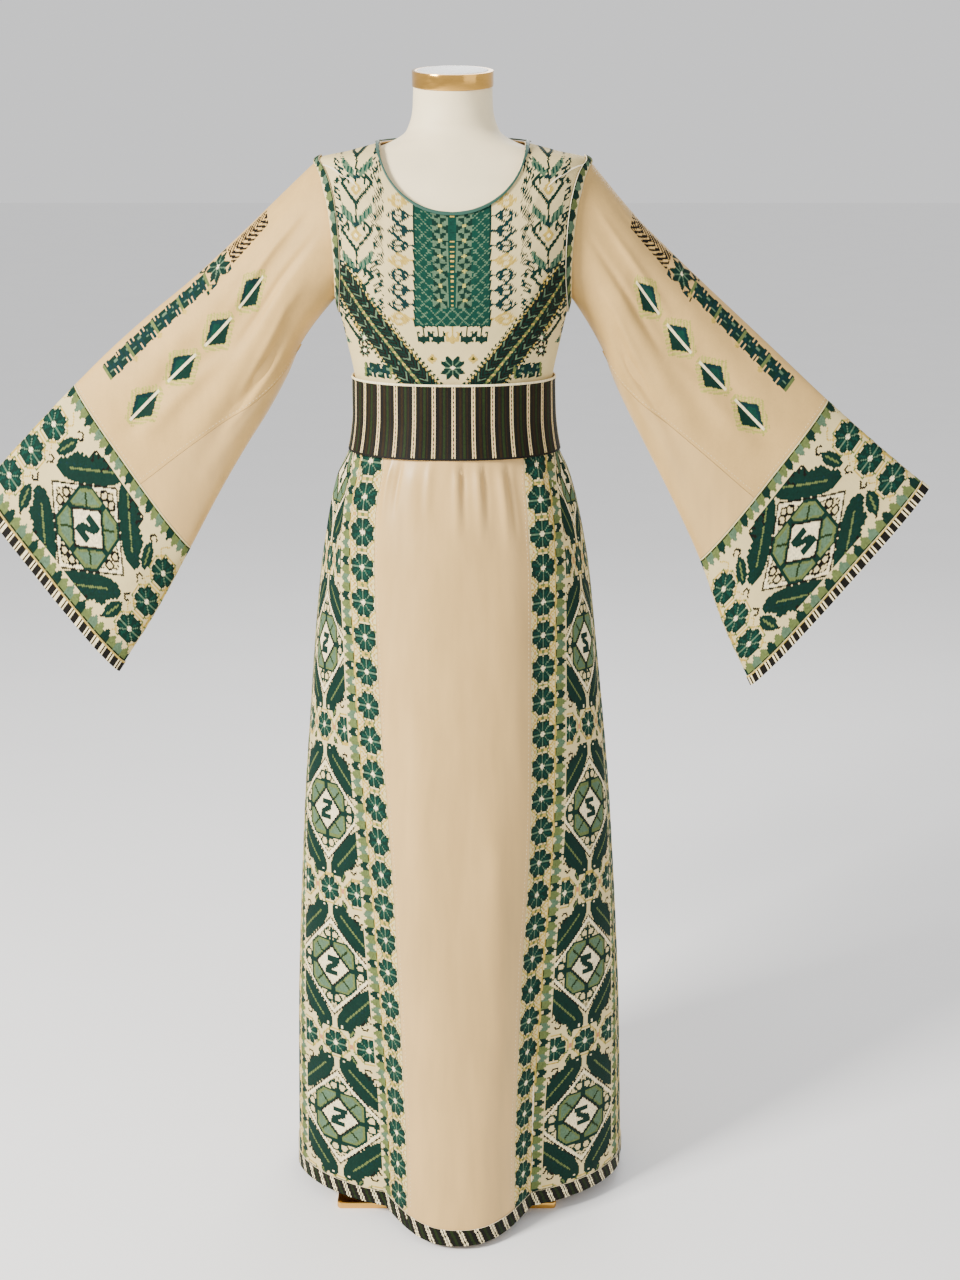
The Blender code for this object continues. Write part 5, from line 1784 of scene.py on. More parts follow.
    def build(self) -> None:
        """Build the panels and the hem band."""
        z = np.linspace(self.foot, self.top, self.lines + 1)
        left, right = self.seams(z)
        side, far = np.full(z.shape, self.back_seam), np.full(z.shape, FULL_TURN - self.back_seam)
        step = self.plain_step
        front = self.panel(left[::step], right[::step], z[::step], self.front_columns)
        self.build_plain("skirt_front_cloth", front, "skirt_front")
        back = self.panel(side[::step], far[::step], z[::step], self.back_columns)
        self.build_plain("skirt_back_cloth", back, "skirt_back")
        for name, first, pitch in self.flower_rows:
            start, end = (right, side) if name == "right" else (left + FULL_TURN, far)
            grid = self.panel(start, end, z, self.side_columns, self.held_width, self.held_step)
            self.build_side(name, grid if name == "right" else grid[:, ::-1], first, pitch)
        self.build_hem()

    def mark_seams(self, stitches: "Stitches") -> None:
        """Mark the stitching beside the front seams and the back seams.

        Args:
            stitches: what keeps the marked places.
        """
        z = np.linspace(*self.seam_reach, self.seam_samples)
        left, right = self.seams(z)
        side = np.full(z.shape, self.back_seam + self.stitch_inset)
        for angle in (left + self.stitch_inset, right - self.stitch_inset, side, FULL_TURN - side):
            here = self.point(angle, z)
            out = np.cross(self.point(angle + 2 * PROBE, z) - here, self.point(angle, z + PROBE) - here)
            stitches.along(here, out, self.stitch_spacing)

    def build_plain(self, name: str, grid: np.ndarray, node: str) -> None:
        """A plain satin panel.

        Args:
            name: the panel's name.
            grid: points in rows and columns.
            node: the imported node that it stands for.
        """
        cloth = Cloth(name, drawn_in(grid, SEAM_GAP), stride=4)
        wear(cloth, self.finishes.satin, "cream_satin", node)

    def build_side(self, side: str, grid: np.ndarray, first: float, pitch: float) -> None:
        """An embroidered side panel.

        Args:
            side: right or left.
            grid: points in rows and columns.
            first: height of the lowest flower's centre.
            pitch: distance between the flowers.
        """
        cloth = Cloth(f"skirt_side_{side}_cloth", drawn_in(grid, SEAM_GAP), stride=7)
        _, centre = cloth.cells()
        number = np.arange(self.side_columns) + 0.5
        held = self.held_width / self.held_step
        across = np.where(number < held, number * self.held_step,
                          self.held_width + (number - held) * self.free_step)
        across = across if side == "right" else across[::-1]
        canvas = Canvas(across[None, :] + 0 * centre[..., 2], centre[..., 2])
        self.paint_side(canvas, first, pitch)
        colours = canvas.colours(seed=51 if side == "left" else 52)
        cloth.raise_stitches(colours[..., 3], self.relief)
        wear(cloth, self.finishes.embroidery, "skirt_embroidery", f"skirt_side_{side}",
             colours)

    def paint_side(self, canvas: Canvas, first: float, pitch: float) -> None:
        """Lay out the columns from the front seam: flowers, saw band, medallions and back.

        Args:
            canvas: where to draw.
            first: height of the lowest flower's centre.
            pitch: distance between the flowers.
        """
        s, z = canvas.across, canvas.along
        counted = pitch / STITCH
        along = (z - first) / STITCH
        column = (s > self.medallion_column[0]) & (s < self.medallion_column[1])
        for height in self.medallion_heights:
            u, v = canvas.local(self.medallion_centre, height)
            near = Canvas(s, z)
            Motif.medallion(near, u, v)
            for shift in (-24.0, 0.0, 24.0):
                Motif.flower(near, u - shift, v + 55.0, 9.0)
                canvas.lay(column & (abs(abs(u - shift) - 11.5) + abs(v + 55.0) < 2.2), Thread.PINK)
            for shift in (-13.0, 13.0):
                for rise in (-9.5, 9.5):
                    lean = 62.0 if shift * rise > 0 else 118.0
                    Motif.leaf(near, u - shift, v + 55.0 - rise, lean, 4.0, 1.8)
            inside = column & (v <= 56) & (v > -66.5)
            canvas.thread = np.where(inside & (near.thread != Thread.GROUND), near.thread, canvas.thread)
        block = counted / 4
        number = np.floor(along / block)
        place = along / block - number
        for straight, sign in self.saw_edges:
            p = (s - straight) * sign / STITCH
            Motif.saw(canvas, p, along, 8.6, block, 0.58)
            notch = (p > 0) & (p < 2.6 * (1 - abs(2 * place - 1))) & (number % 2 == 0)
            canvas.lay(notch, Thread.GROUND)
        for centre in self.flower_columns:
            u, v = canvas.repeated(centre, first, pitch)
            strip = abs(s - centre) < self.flower_half
            canvas.lay(strip, Thread.GROUND)
            Motif.flower(canvas, u, v)
            gap = abs(abs(v) - counted / 2)
            canvas.lay(strip & (gap < 0.8) & (abs(abs(u) - 6.4) < 0.8), Thread.PINK)
            canvas.lay(strip & (gap + abs(u) < 1.7), Thread.SAGE)
            canvas.lay(strip & (abs(gap + abs(abs(u) - 8.8) - 2.6) < 0.55), Thread.STRAW)
            canvas.lay(abs(abs(s - centre) - self.lace_line) < 0.0008, Thread.STRAW)

    def build_hem(self) -> None:
        """The striped band, moved out from the lowest part of the panels."""
        z = np.linspace(self.foot, self.foot + self.band_height, 12)
        left, right = self.seams(z)
        side, far = np.full(z.shape, self.back_seam), np.full(z.shape, FULL_TURN - self.back_seam)
        marks = (left, right, side, far, left + FULL_TURN)
        parts = [self.panel(start, end, z, columns)[:, :-1]
                 for start, end, columns in zip(marks[:-1], marks[1:], self.hem_columns)]
        ring = np.concatenate(parts, axis=1)
        grid = ring + (LAY_GAP + TRIM_WALL) * grid_normals(ring, True)
        grid[0, :, 2] = ring[0, :, 2]
        cloth = Cloth("hem_stripes", grid, True, TRIM_WALL, 5)
        across, centre = cloth.cells()
        canvas = Canvas(across, centre[..., 2])
        run = across.mean(axis=0, keepdims=True) + self.hem_slant * centre[..., 2]
        banded((run / self.hem_repeat) % 1.0, self.hem_bands, canvas)
        colours = canvas.colours(seed=61)
        wear(cloth, self.finishes.stripes, "striped_cloth", "hem_band",
             colours)


class SleeveFold(NamedTuple):
    """A crease on a sleeve: where it lies round the ring, and between which stations."""
    angle: float
    width: float
    height: float
    start: float
    end: float
    drift: float


@dataclass
class Sleeve:
    """One winged sleeve: upper piece, gore, embroidered cuff band and striped binding."""
    side: str
    bodice: Bodice
    finishes: Finishes
    rows: tuple = ()
    cuff_station: float = 6.0
    gore_station: float = 1.2
    gore_spread: float = math.radians(80.0)
    gore_power: float = 0.8
    gore_start: float = 0.05
    blend: float = 1.2
    blend_ease: float = 0.35
    armhole_gap: float = 0.0014
    cuff_gap: float = 0.002
    cuff_girth: float = 0.51
    held_width: float = 0.128
    held_step: float = 0.0018
    half_columns: int = 95
    relief: float = 0.0003
    fine_depth: float = 3.0
    lines: int = 205
    samples: int = 361
    gore_lines: int = 121
    gore_columns: int = 72
    cuff_lines: int = 90
    cuff_samples: int = 721
    stitch_inset: float = 0.045
    cuff_stitch_inset: float = 0.06
    stitch_spacing: float = 0.0052
    strip_centre: float = 0.0255
    strip_reach: tuple = (0.098, 0.166)
    star_place: float = 0.187
    comb_start: float = 0.230
    comb_pitch: float = 0.0440
    lozenge_start: float = 0.2080
    arrow_start: float = 0.154
    arrow_pitch: float = 0.0713
    arrow_centre: float = 0.088
    cuff_stations: tuple = (6.006, 8.0)
    cuff_scale: float = 0.1
    cuff_columns: int = 288
    mouth_repeat: float = 0.0160
    mouth_bands: tuple = ((0.17, Thread.IVORY), (0.14, Thread.BROWN), (0.17, Thread.IVORY),
                          (0.52, Thread.BLACK_BROWN))
    folds: tuple = (
        SleeveFold(48.0, 12.0, 0.0040, 0.4, 5.6, 2.0), SleeveFold(74.0, 12.0, -0.0050, 0.3, 4.8, 4.0),
        SleeveFold(102.0, 12.0, 0.0050, 0.5, 5.8, 3.0), SleeveFold(128.0, 11.0, -0.0045, 0.6, 5.0, 0.0),
        SleeveFold(150.0, 10.0, 0.0035, 1.0, 5.6, -3.0), SleeveFold(80.0, 16.0, -0.0030, 5.4, 8.6, 0.0),
        SleeveFold(124.0, 14.0, 0.0030, 5.2, 8.6, 3.0), SleeveFold(230.0, 14.0, 0.0045, 0.5, 5.6, -3.0),
        SleeveFold(262.0, 13.0, -0.0050, 0.3, 5.2, -4.0), SleeveFold(294.0, 14.0, 0.0045, 0.5, 5.8, 2.0),
        SleeveFold(258.0, 16.0, -0.0030, 5.4, 8.6, 2.0),
    )
    fine_folds: tuple = (
        SleeveFold(60.0, 5.0, 0.0014, 0.5, 2.6, 5.0), SleeveFold(88.0, 4.5, -0.0015, 0.4, 3.0, 3.0),
        SleeveFold(112.0, 5.0, 0.0016, 0.8, 3.6, 4.0), SleeveFold(138.0, 5.0, 0.0016, 1.4, 4.4, -2.0),
        SleeveFold(34.0, 5.0, -0.0012, 0.6, 3.2, 2.0), SleeveFold(92.0, 6.0, 0.0014, 3.0, 5.6, -3.0),
        SleeveFold(70.0, 6.0, -0.0012, 3.4, 5.9, 2.0), SleeveFold(215.0, 6.0, -0.0016, 0.6, 3.4, -3.0),
        SleeveFold(248.0, 6.0, 0.0016, 0.5, 3.0, -4.0), SleeveFold(280.0, 6.0, 0.0016, 0.8, 4.2, 3.0),
        SleeveFold(310.0, 5.0, -0.0014, 0.6, 3.4, 2.0),
    )

    def column(self, number: int, station: np.ndarray) -> np.ndarray:
        """Read one column of the table at some stations."""
        return table_column(self.rows, number, station)

    def crease(self, turn: np.ndarray, station: np.ndarray) -> np.ndarray:
        """Add up the creases at some places.

        Args:
            turn: how far round, from the upper edge.
            station: row of the sleeve's table.

        Returns:
            How far each point moves outwards, in metres.
        """
        degrees = np.degrees(turn) % 360.0
        total = np.zeros(turn.shape)
        for fold in self.folds + self.fine_folds:
            along = np.clip((station - fold.start) / (fold.end - fold.start), 0, 1)
            away = (degrees - fold.angle - fold.drift * (station - fold.start) + 180.0) % 360.0 - 180.0
            deep = 1.0 if fold in self.folds else self.fine_depth
            total += fold.height * deep * np.sin(math.pi * along) ** 0.8 * np.exp(-(away / fold.width) ** 2)
        return total

    def ring(self, turn: np.ndarray, station: np.ndarray) -> np.ndarray:
        """Points of the sleeve away from the armhole.

        Args:
            turn: how far round, from the upper edge.
            station: row of the sleeve's table.

        Returns:
            The points.
        """
        sine = np.sin(turn)
        depth = np.where(sine >= 0, self.column(4, station), self.column(5, station))
        deep = depth * sine + np.where(sine >= 0, 1.0, -1.0) * self.crease(turn, station) * abs(sine)
        half = (1 + np.cos(turn)) / 2
        x = self.column(0, station) * half + self.column(2, station) * (1 - half)
        z = self.column(1, station) * half + self.column(3, station) * (1 - half)
        return np.stack((x, -deep, z), axis=-1)

    def point(self, turn: np.ndarray, station: np.ndarray) -> np.ndarray:
        """Points of the outer face: turn 0 is the upper edge, a quarter turn the front.

        Args:
            turn: how far round, from the upper edge.
            station: row of the sleeve's table.

        Returns:
            The points.
        """
        turn, station = np.broadcast_arrays(np.asarray(turn, float), np.asarray(station, float))
        ring = self.ring(turn, station)
        angle, row = self.bodice.armhole(turn)
        edge = self.bodice.skin.offset(angle, row, np.full(turn.shape, LAY_GAP + WALL))
        edge[..., 0] *= math.copysign(1.0, self.rows[0][0])
        share = np.clip(station / self.blend, 0, 1)
        share = share + self.blend_ease * (eased(share) - share)
        return edge * (1 - share)[..., None] + ring * share[..., None]

    def gore_edge(self, station: np.ndarray) -> np.ndarray:
        """Turn at which the seam between the upper piece and its gore runs.

        Args:
            station: row of the sleeve's table.

        Returns:
            The turns.
        """
        share = np.clip((station - self.gore_station) / (self.cuff_station - self.gore_station), 0, 1)
        spread = self.gore_spread * (self.gore_start + (1 - self.gore_start) * share ** self.gore_power)
        return math.pi - np.where(station < self.gore_station, 0.0, spread)

    def outward(self, grid: np.ndarray) -> np.ndarray:
        """Turn a left grid's columns round, so that it faces outwards."""
        return grid if self.side == "right" else grid[:, ::-1]

    def build(self) -> None:
        """Build the sleeve's pieces."""
        self.build_upper()
        self.build_gore()
        self.build_cuff()

    def strip(self, stations: np.ndarray, start: np.ndarray, end: np.ndarray,
              columns: int) -> np.ndarray:
        """Grid of a piece between two turns.

        Args:
            stations: rows of the sleeve's table, one for each line of the grid.
            start: turn of the first column in each row.
            end: turn of the last column in each row.
            columns: steps across.

        Returns:
            The grid.
        """
        share = np.linspace(0, 1, columns + 1)[None, :]
        turn = start[:, None] + (end - start)[:, None] * share
        return self.point(turn, stations[:, None] + 0 * turn)

    def folded(self, stations: np.ndarray, edge: np.ndarray, columns: int) -> tuple:
        """Grid of the upper piece: near the fold its columns keep a fixed distance.

        Args:
            stations: rows of the sleeve's table, one for each line of the grid.
            edge: turn of the last column in each row.
            columns: steps on each side of the fold.

        Returns:
            The grid, and the turns of its columns.
        """
        fine = np.linspace(0, 1, self.samples)
        marks = np.linspace(0, 1, columns - round(self.held_width / self.held_step) + 1)
        halves = []
        for sign in (-1.0, 1.0):
            turns = []
            for at, last in zip(stations, edge):
                curve = self.point(sign * last * fine, np.full(self.samples, at))
                turns.append(sign * last * shares_at(curve, marks, self.held_width, self.held_step))
            halves.append(np.array(turns))
        turn = np.concatenate((halves[0][:, :0:-1], halves[1]), axis=1)
        return self.point(turn, stations[:, None] + 0 * turn), turn

    def mark_seams(self, stitches: "Stitches") -> None:
        """Mark the stitching on both sides of the gore's seams and beside the cuff.

        Args:
            stitches: what keeps the marked places.
        """
        stations = np.linspace(self.gore_station + 0.1, self.cuff_station - 0.05, 80)
        edge = self.gore_edge(stations)
        for sign in (-1.0, 1.0):
            self.mark(stitches, sign * (edge - self.stitch_inset), stations)
        across = np.linspace(-1.0, 1.0, 160)
        reach = self.gore_edge(np.full(across.shape, self.cuff_station)) - self.cuff_stitch_inset
        self.mark(stitches, across * reach, np.full(across.shape, self.cuff_station - self.stitch_inset))

    def mark(self, stitches: "Stitches", turn: np.ndarray, station: np.ndarray) -> None:
        """Mark stitches along one line of the sleeve.

        Args:
            stitches: what keeps the marked places.
            turn: how far round each point of the line is.
            station: row of the sleeve's table at each point.
        """
        here = self.point(turn, station)
        across = self.point(turn + 10 * PROBE, station) - here
        along = self.point(turn, station + 10 * PROBE) - here
        out = np.cross(across, along) * math.copysign(1.0, self.rows[0][0])
        stitches.along(here, out, self.stitch_spacing)

    def build_upper(self) -> None:
        """The embroidered upper piece, over the top fold."""
        stations = np.linspace(0, self.cuff_station, self.lines)
        edge = self.gore_edge(stations)
        grid, turn = self.folded(stations, edge, self.half_columns)
        away = grid[3] - grid[0]
        part = SEAM_GAP + self.armhole_gap * np.cos(turn[0]) ** 2
        grid[0] += away / np.linalg.norm(away, axis=1, keepdims=True) * part[:, None]
        grid[1] = grid[0] * 0.65 + grid[3] * 0.35
        grid[2] = grid[0] * 0.3 + grid[3] * 0.7
        grid = drawn_in(grid, SEAM_GAP)
        cloth = Cloth(f"sleeve_{self.side}_cloth", self.outward(grid), stride=6)
        _, centre = cloth.cells()
        number = np.arange(2 * self.half_columns) + 0.5 - self.half_columns
        across = self.outward(number[None, :] * self.held_step + 0 * centre[..., 0])
        top = np.array((self.rows[0][0], self.rows[0][1]))
        run = np.array((self.rows[6][0], self.rows[6][1])) - top
        run = run / np.linalg.norm(run)
        along = (centre[..., 0] - top[0]) * run[0] + (centre[..., 2] - top[1]) * run[1]
        near_fold = abs(across[0]) < self.held_width * 0.75
        canvas = Canvas(across, along[:, near_fold].mean(axis=1, keepdims=True) + 0 * along)
        self.paint_upper(canvas)
        colours = canvas.colours(71 if self.side == "left" else 72, ground=SATIN_TONE)
        cloth.raise_stitches(colours[..., 3], self.relief)
        wear(cloth, self.finishes.sleeve, "sleeve_cloth", f"sleeve_{self.side}",
             colours, SATIN_TONE)

    def paint_upper(self, canvas: Canvas) -> None:
        """Lay out the sleeve: herringbone, star and combs near the fold, arrowheads below.

        Args:
            canvas: where to draw.
        """
        across, along = abs(canvas.across) * 0.96, canvas.along
        v = (across - self.strip_centre) / STITCH
        strip = (abs(v) < 6.8) & (along > self.strip_reach[0]) & (along < self.strip_reach[1])
        canvas.lay(strip & ((along / STITCH + abs(v)) / 3.6 % 1 < 0.62), Thread.BLACK_BROWN)
        u = (along - self.star_place) / STITCH
        canvas.lay((abs(u) < 9.5) & (abs(v) < 9.5) & (abs(u) + abs(v) > 14.0), Thread.BLUE_GREEN)
        Motif.star(canvas, u, v, 8.8)
        for side in (-1, 1):
            Motif.curl(canvas, u - 12.5, side * v + 4.5, 2.8, Thread.DARK_GREEN)
        for number in range(4):
            shift = number * self.comb_pitch
            Motif.comb(canvas, (along - self.comb_start - shift) / STITCH, v, 10.8)
            ahead = (along - self.lozenge_start - shift) / STITCH
            canvas.lay(abs(ahead) + abs(v - 7.0) < 2.2, Thread.STRAW)
        for number in range(4):
            Motif.arrowhead(canvas, (along - self.arrow_start - number * self.arrow_pitch) / STITCH,
                            (across - self.arrow_centre) / STITCH)

    def build_gore(self) -> None:
        """The plain gore under the arm."""
        stations = np.linspace(self.gore_station, self.cuff_station, self.gore_lines)
        edge = self.gore_edge(stations)
        grid = self.strip(stations, edge, FULL_TURN - edge, self.gore_columns)
        grid = drawn_in(drawn_in(grid, self.cuff_gap, end=False, axis=0), SEAM_GAP)
        cloth = Cloth(f"sleeve_gore_{self.side}_cloth", self.outward(grid), stride=4)
        wear(cloth, self.finishes.satin, "sleeve_cloth", f"sleeve_gore_{self.side}")

    def build_cuff(self) -> None:
        """The deep embroidered cuff band and the striped binding round its mouth."""
        stations = np.linspace(*self.cuff_stations, self.cuff_lines)
        full = np.linspace(0, FULL_TURN, self.cuff_samples)
        turn = np.array([even_shares(self.point(full, np.full(full.shape, at)), self.cuff_columns)[:-1]
                         for at in stations])
        turn = turn * FULL_TURN
        grid = self.point(turn, stations[:, None] + 0 * turn)
        shown = self.outward(grid)
        cloth = Cloth(f"cuff_{self.side}_cloth", shown, True, stride=6)
        share = (np.arange(self.cuff_columns)[None, :] + 0.5) / self.cuff_columns
        place = self.outward(share + 0 * stations[1:, None])
        if self.side == "left":
            place = np.roll(place, -1, axis=1)
        face = np.where(place < 0.5, place - 0.25, place - 0.75) * self.cuff_girth
        depth = np.broadcast_to(((stations[1:] + stations[:-1]) / 2)[:, None], face.shape)
        canvas = Canvas(face, (depth - 7.0) * self.cuff_scale)
        self.paint_cuff(canvas)
        colours = canvas.colours(seed=81 if self.side == "left" else 82)
        cloth.raise_stitches(colours[..., 3], self.relief)
        wear(cloth, self.finishes.embroidery, "cuff_embroidery", f"cuff_band_{self.side}",
             colours)
        self.build_binding(shown[-8:])

    def paint_cuff(self, canvas: Canvas) -> None:
        """Lay out the cuff: saw bands on both edges, a medallion, leafy shapes and flowers.

        Args:
            canvas: where to draw.
        """
        u, v = canvas.across / STITCH, canvas.along / STITCH
        a, b = abs(u), abs(v)
        diamond = a + b
        near = Canvas(canvas.across, canvas.along)
        Motif.birds(near, a, b, 45.5, 12.0, 36.0)
        near.lay(diamond < 34.0, Thread.GROUND)
        near.lay(abs(diamond - 33.0) < 0.8, Thread.BLACK_BROWN)
        near.lay(abs(diamond - 30.8) < 1.3, Thread.IVORY)
        near.lay((abs(diamond - 28.6) < 0.8) & (np.floor((a - b) / 1.6) % 2 == 0), Thread.BLACK_BROWN)
        for along, across in ((b, a), (a, b)):
            near.lay(abs(np.hypot(across - 3.4, along - 22.8) - 2.6) < 0.7, Thread.BLACK_BROWN)
        Motif.core(near, u, v, 19.5)
        for side in (-1, 1):
            for rise in (-1, 1):
                p, q = side * u, rise * v
                Motif.curl(near, p - 14.0, q - 36.0, 2.6)
                Motif.curl(near, -(p - 22.0), q - 34.5, 2.2)
                Motif.curl(near, p - 37.0, q - 33.0, 2.4)
                Motif.leaf(near, p - 39.0, q - 22.0, 105.0, 9.0, 4.0)
                Motif.curl(near, p - 42.0, q - 8.0, 2.0)
        canvas.thread = np.where((a < 44) & (b < 42), near.thread, canvas.thread)
        lattice = (a >= 44) & (b < 41)
        canvas.lay(lattice & (abs((u + v) % 22.0 - 11.0) < 0.45), Thread.STRAW)
        canvas.lay(lattice & (abs((u - v) % 22.0 - 11.0) < 0.45), Thread.STRAW)
        for side in (-1, 1):
            for rise in (-1, 0, 1):
                Motif.flower(canvas, side * u - 54.0, v - rise * 22.4, 9.4)
            for rise in (-1, 1):
                Motif.flower(canvas, side * u - 71.5, v - rise * 11.2, 8.4)
        Motif.saw(canvas, v + 48.6, u, 9.6, 5.2, 0.5)
        Motif.saw(canvas, 41.6 - v, u, 9.4, 5.2, 0.5)

    def build_binding(self, grid: np.ndarray) -> None:
        """The striped binding: the cuff's last rows, moved out.

        Args:
            grid: the cuff's last rows.
        """
        ring = grid + (LAY_GAP + TRIM_WALL + self.relief) * grid_normals(grid, True)
        ring[-1] = ring[-1] + (ring[-1] - ring[-2]) * 0.02
        cloth = Cloth(f"cuff_stripes_{self.side}", ring, True, TRIM_WALL, 4)
        across, _ = cloth.cells()
        across = across.mean(axis=0, keepdims=True) + 0 * across
        rows = np.broadcast_to(np.arange(ring.shape[0] - 1)[:, None], across.shape)
        canvas = Canvas(across, rows * STITCH)
        banded((across / self.mouth_repeat) % 1.0, self.mouth_bands, canvas)
        canvas.lay(rows == 0, Thread.STRAW)
        colours = canvas.colours(seed=91)
        wear(cloth, self.finishes.stripes, "striped_cloth", f"cuff_binding_{self.side}",
             colours)


LEFT_SLEEVE = (
    (-0.1740, 1.4155, -0.1560, 1.2380, 0.060, 0.056), (-0.2270, 1.3640, -0.1920, 1.1940, 0.058, 0.052),
    (-0.2810, 1.3140, -0.2165, 1.1420, 0.050, 0.046), (-0.3360, 1.2660, -0.2425, 1.0960, 0.043, 0.039),
    (-0.3890, 1.2240, -0.2700, 1.0540, 0.037, 0.033), (-0.4420, 1.1790, -0.3060, 0.9950, 0.032, 0.029),
    (-0.4920, 1.1320, -0.3500, 0.9160, 0.029, 0.026), (-0.5620, 1.0620, -0.4000, 0.8280, 0.027, 0.024),
    (-0.6320, 0.9880, -0.4550, 0.7440, 0.025, 0.022),
)
RIGHT_SLEEVE = (
    (0.1745, 1.4150, 0.1560, 1.2400, 0.060, 0.056), (0.2240, 1.3540, 0.1890, 1.1850, 0.058, 0.052),
    (0.2740, 1.3050, 0.2070, 1.1390, 0.050, 0.046), (0.3260, 1.2570, 0.2275, 1.0960, 0.043, 0.039),
    (0.3760, 1.2120, 0.2500, 1.0530, 0.037, 0.033), (0.4300, 1.1630, 0.2840, 0.9880, 0.032, 0.029),
    (0.4860, 1.1120, 0.3265, 0.8990, 0.029, 0.026), (0.5560, 1.0520, 0.3630, 0.8040, 0.027, 0.024),
    (0.6260, 0.9950, 0.4020, 0.7240, 0.025, 0.022),
)


@dataclass
class Stitches:
    """Small raised stitches along a line on the cloth, laid by one node tree."""
    name: str
    material: bpy.types.Material
    length: float = 0.0032
    width: float = 0.0008
    seed: int = 3
    places: list = field(default_factory=list)

    @staticmethod
    def sampled(values: np.ndarray, reach: np.ndarray, at: np.ndarray) -> np.ndarray:
        """Read a line's points or directions at some lengths along it."""
        return np.stack([np.interp(at, reach, values[:, i]) for i in range(3)], axis=1)

    def along(self, line: np.ndarray, out: np.ndarray, spacing: float) -> None:
        """Mark stitches along a line.

        Args:
            line: points of the line.
            out: the cloth's outward direction at each point.
            spacing: distance between the stitches.
        """
        steps = np.linalg.norm(np.diff(line, axis=0), axis=1)
        reach = np.concatenate(((0.0,), np.cumsum(steps)))
        at = np.arange(spacing / 2, reach[-1], spacing)
        normal = self.sampled(out, reach, at)
        ahead = self.sampled(line, reach, at + PROBE) - self.sampled(line, reach, at - PROBE)
        normal /= np.linalg.norm(normal, axis=1, keepdims=True)
        ahead /= np.linalg.norm(ahead, axis=1, keepdims=True)
        self.places.append((self.sampled(line, reach, at), ahead, normal))

    def tree(self) -> bpy.types.NodeTree:
        """Build the node tree: one stitch on every marked point, turned along its line.

        Returns:
            The tree, with the stitch's sizes, seed and material as inputs.
        """
        tree = bpy.data.node_groups.new(f"{self.name}_tree", "GeometryNodeTree")
        face = tree.interface
        face.new_socket("Geometry", in_out="INPUT", socket_type="NodeSocketGeometry")
        for label in ("Length", "Width", "Height"):
            face.new_socket(label, in_out="INPUT", socket_type="NodeSocketFloat")
        face.new_socket("Seed", in_out="INPUT", socket_type="NodeSocketInt")
        face.new_socket("Material", in_out="INPUT", socket_type="NodeSocketMaterial")
        face.new_socket("Geometry", in_out="OUTPUT", socket_type="NodeSocketGeometry")
        nodes, link = tree.nodes, tree.links.new
        entry, leave = nodes.new("NodeGroupInput"), nodes.new("NodeGroupOutput")
        ball = nodes.new("GeometryNodeMeshUVSphere")
        ball.inputs["Segments"].default_value = 6
        ball.inputs["Rings"].default_value = 3
        ball.inputs["Radius"].default_value = 0.5
        points = nodes.new("GeometryNodeMeshToPoints")
        size = nodes.new("ShaderNodeCombineXYZ")
        for label, key in (("Length", "X"), ("Width", "Y"), ("Height", "Z")):
            link(entry.outputs[label], size.inputs[key])
        shape = nodes.new("GeometryNodeTransform")
        link(ball.outputs["Mesh"], shape.inputs["Geometry"])
        link(size.outputs[0], shape.inputs["Scale"])
        first, second = (nodes.new("FunctionNodeAlignRotationToVector") for _ in range(2))
        first.axis, second.axis = "X", "Z"
        second.pivot_axis = "X"
        for label, node in (("ahead", first), ("out", second)):
            read = nodes.new("GeometryNodeInputNamedAttribute")
            read.data_type = "FLOAT_VECTOR"
            read.inputs["Name"].default_value = label
            link(read.outputs["Attribute"], node.inputs["Vector"])
        link(first.outputs[0], second.inputs["Rotation"])
        chance = nodes.new("FunctionNodeRandomValue")
        chance.data_type = "FLOAT"
        chance.inputs[2].default_value, chance.inputs[3].default_value = 0.85, 1.1
        link(entry.outputs["Seed"], chance.inputs["Seed"])
        place = nodes.new("GeometryNodeInstanceOnPoints")
        link(entry.outputs["Geometry"], points.inputs["Mesh"])
        link(points.outputs[0], place.inputs["Points"])
        link(shape.outputs[0], place.inputs["Instance"])
        link(second.outputs[0], place.inputs["Rotation"])
        link(chance.outputs[1], place.inputs["Scale"])
        real, dress = nodes.new("GeometryNodeRealizeInstances"), nodes.new("GeometryNodeSetMaterial")
        link(place.outputs[0], real.inputs[0])
        link(real.outputs[0], dress.inputs["Geometry"])
        link(entry.outputs["Material"], dress.inputs["Material"])
        link(dress.outputs[0], leave.inputs[0])
        return tree

    def build(self, slot: str) -> None:
        """Turn the marked places into one plain mesh of stitches.

        Args:
            slot: passed on, but not used.
        """
        centre, ahead, normal = (np.concatenate([part[i] for part in self.places]) for i in range(3))
        seed_mesh = bpy.data.meshes.new(f"{self.name}_places")
        seed_mesh.from_pydata(centre.tolist(), [], [])
        for label, values in (("ahead", ahead), ("out", normal)):
            layer = seed_mesh.attributes.new(label, "FLOAT_VECTOR", "POINT")
            layer.data.foreach_set("vector", values.astype(np.float32).ravel())
        holder = placed(f"{self.name}_places", seed_mesh)
        tree = self.tree()
        modifier = holder.modifiers.new("stitches", "NODES")
        modifier.node_group = tree
        values = {"Length": self.length, "Width": self.width, "Height": self.width,
                  "Seed": self.seed, "Material": self.material}
        for item in tree.interface.items_tree:
            if item.in_out == "INPUT" and item.name in values:
                modifier[item.identifier] = values[item.name]
        graph = bpy.context.evaluated_depsgraph_get()
        mesh = bpy.data.meshes.new_from_object(holder.evaluated_get(graph))
        mesh.name = self.name
        bpy.data.objects.remove(holder, do_unlink=True)
        mesh.shade_smooth()
        hang(placed(self.name, mesh), slot)


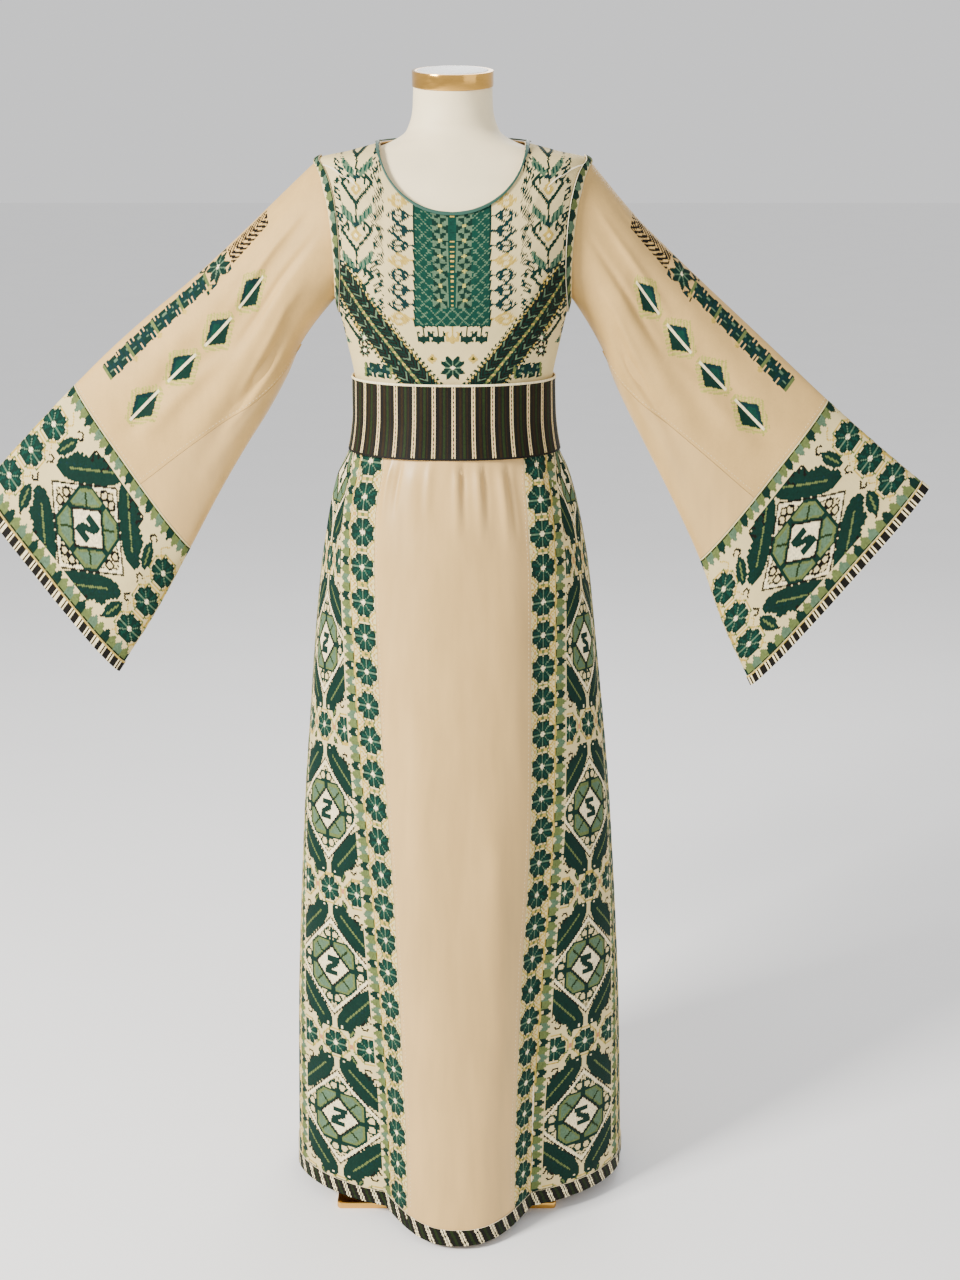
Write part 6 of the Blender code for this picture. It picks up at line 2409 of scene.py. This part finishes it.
@dataclass(frozen=True)
class Lamp:
    """A soft square light: where it stands, what it faces, its size, watts and colour."""
    name: str
    place: tuple
    aim: tuple
    size: float
    watts: float
    colour: tuple

    def build(self) -> None:
        """Add the light to the scene."""
        lamp = bpy.data.lights.new(self.name, "AREA")
        lamp.size, lamp.energy, lamp.color = self.size, self.watts, self.colour
        piece = placed(self.name, lamp)
        way = Matrix.Translation(self.aim).translation - Matrix.Translation(self.place).translation
        piece.location = self.place
        piece.rotation_euler = way.to_track_quat("-Z", "Y").to_euler()


@dataclass(frozen=True)
class Studio:
    """The pale floor, the soft lights and the camera at the photograph's angle."""
    camera_place: tuple = (0.034, -2.5, 1.475)
    camera_pitch: float = 15.4
    focal_pixels: float = 1923.0
    frame_height: float = 1280.0
    sensor: float = 36.0
    lamps: tuple = (
        Lamp("key", (-2.5, -2.0, 2.5), (0.0, 0.0, 0.9), 0.9, 320.0, (1.0, 0.965, 0.91)),
        Lamp("fill", (2.4, -2.0, 1.9), (0.0, 0.0, 0.8), 2.2, 16.0, (0.97, 0.98, 1.0)),
        Lamp("rim", (0.6, 2.4, 2.6), (0.0, 0.0, 1.0), 1.6, 34.0, (1.0, 1.0, 1.0)),
    )
    sky: tuple = (0.93, 0.93, 0.94, 1.0)
    sky_strength: float = 1.0
    floor_tone: tuple = (0.895, 0.895, 0.895, 1.0)
    floor_roughness: float = 0.6
    floor_reach: float = 30.0

    def build(self) -> None:
        """Set up the camera, the lights, the floor and the pale surroundings."""
        camera = placed("camera", bpy.data.cameras.new("camera"))
        camera.data.sensor_width = self.sensor
        camera.data.lens = self.focal_pixels / self.frame_height * self.sensor
        camera.location = self.camera_place
        camera.rotation_euler = (math.radians(90.0 - self.camera_pitch), 0.0, 0.0)
        bpy.context.scene.camera = camera
        for lamp in self.lamps:
            lamp.build()
        world = bpy.data.worlds.new("studio")
        world.use_nodes = True
        background = world.node_tree.nodes["Background"]
        background.inputs[0].default_value = self.sky
        background.inputs[1].default_value = self.sky_strength
        bpy.context.scene.world = world
        self.build_floor()

    def build_floor(self) -> None:
        """The wide floor under the stand, which belongs to the studio alone."""
        nodes = Nodes("pale_floor")
        tone = nodes.noise(3.0, 2.0)
        pale = nodes.finish(nodes.shaded(self.floor_tone, nodes.spread(tone, 0.99, 1.01)),
                            self.floor_roughness)
        mesh = bpy.data.meshes.new("floor")
        reach = self.floor_reach
        mesh.from_pydata([(-reach, -reach, 0), (reach, -reach, 0), (reach, reach, 0),
                          (-reach, reach, 0)], [], [(0, 1, 2, 3)])
        mesh.materials.append(pale)
        placed("floor", mesh)


def main() -> None:
    """Build the form, the robe and the studio, in that order."""
    logging.basicConfig(level=logging.INFO, format="%(name)s: %(message)s")
    finishes = Finishes.make()
    skin = FormSkin()
    DressForm(skin, finishes).build()
    bodice = Bodice(skin, finishes)
    bodice.build()
    Belt(finishes).build()
    skirt = Skirt(finishes)
    sleeves = (Sleeve("left", bodice, finishes, LEFT_SLEEVE),
               Sleeve("right", bodice, finishes, RIGHT_SLEEVE))
    stitches = Stitches("seam_stitches", finishes.piping)
    for part in (skirt, *sleeves):
        part.build()
        part.mark_seams(stitches)
    stitches.build("cream_satin")
    Studio().build()


if __name__ == "__main__":
    main()
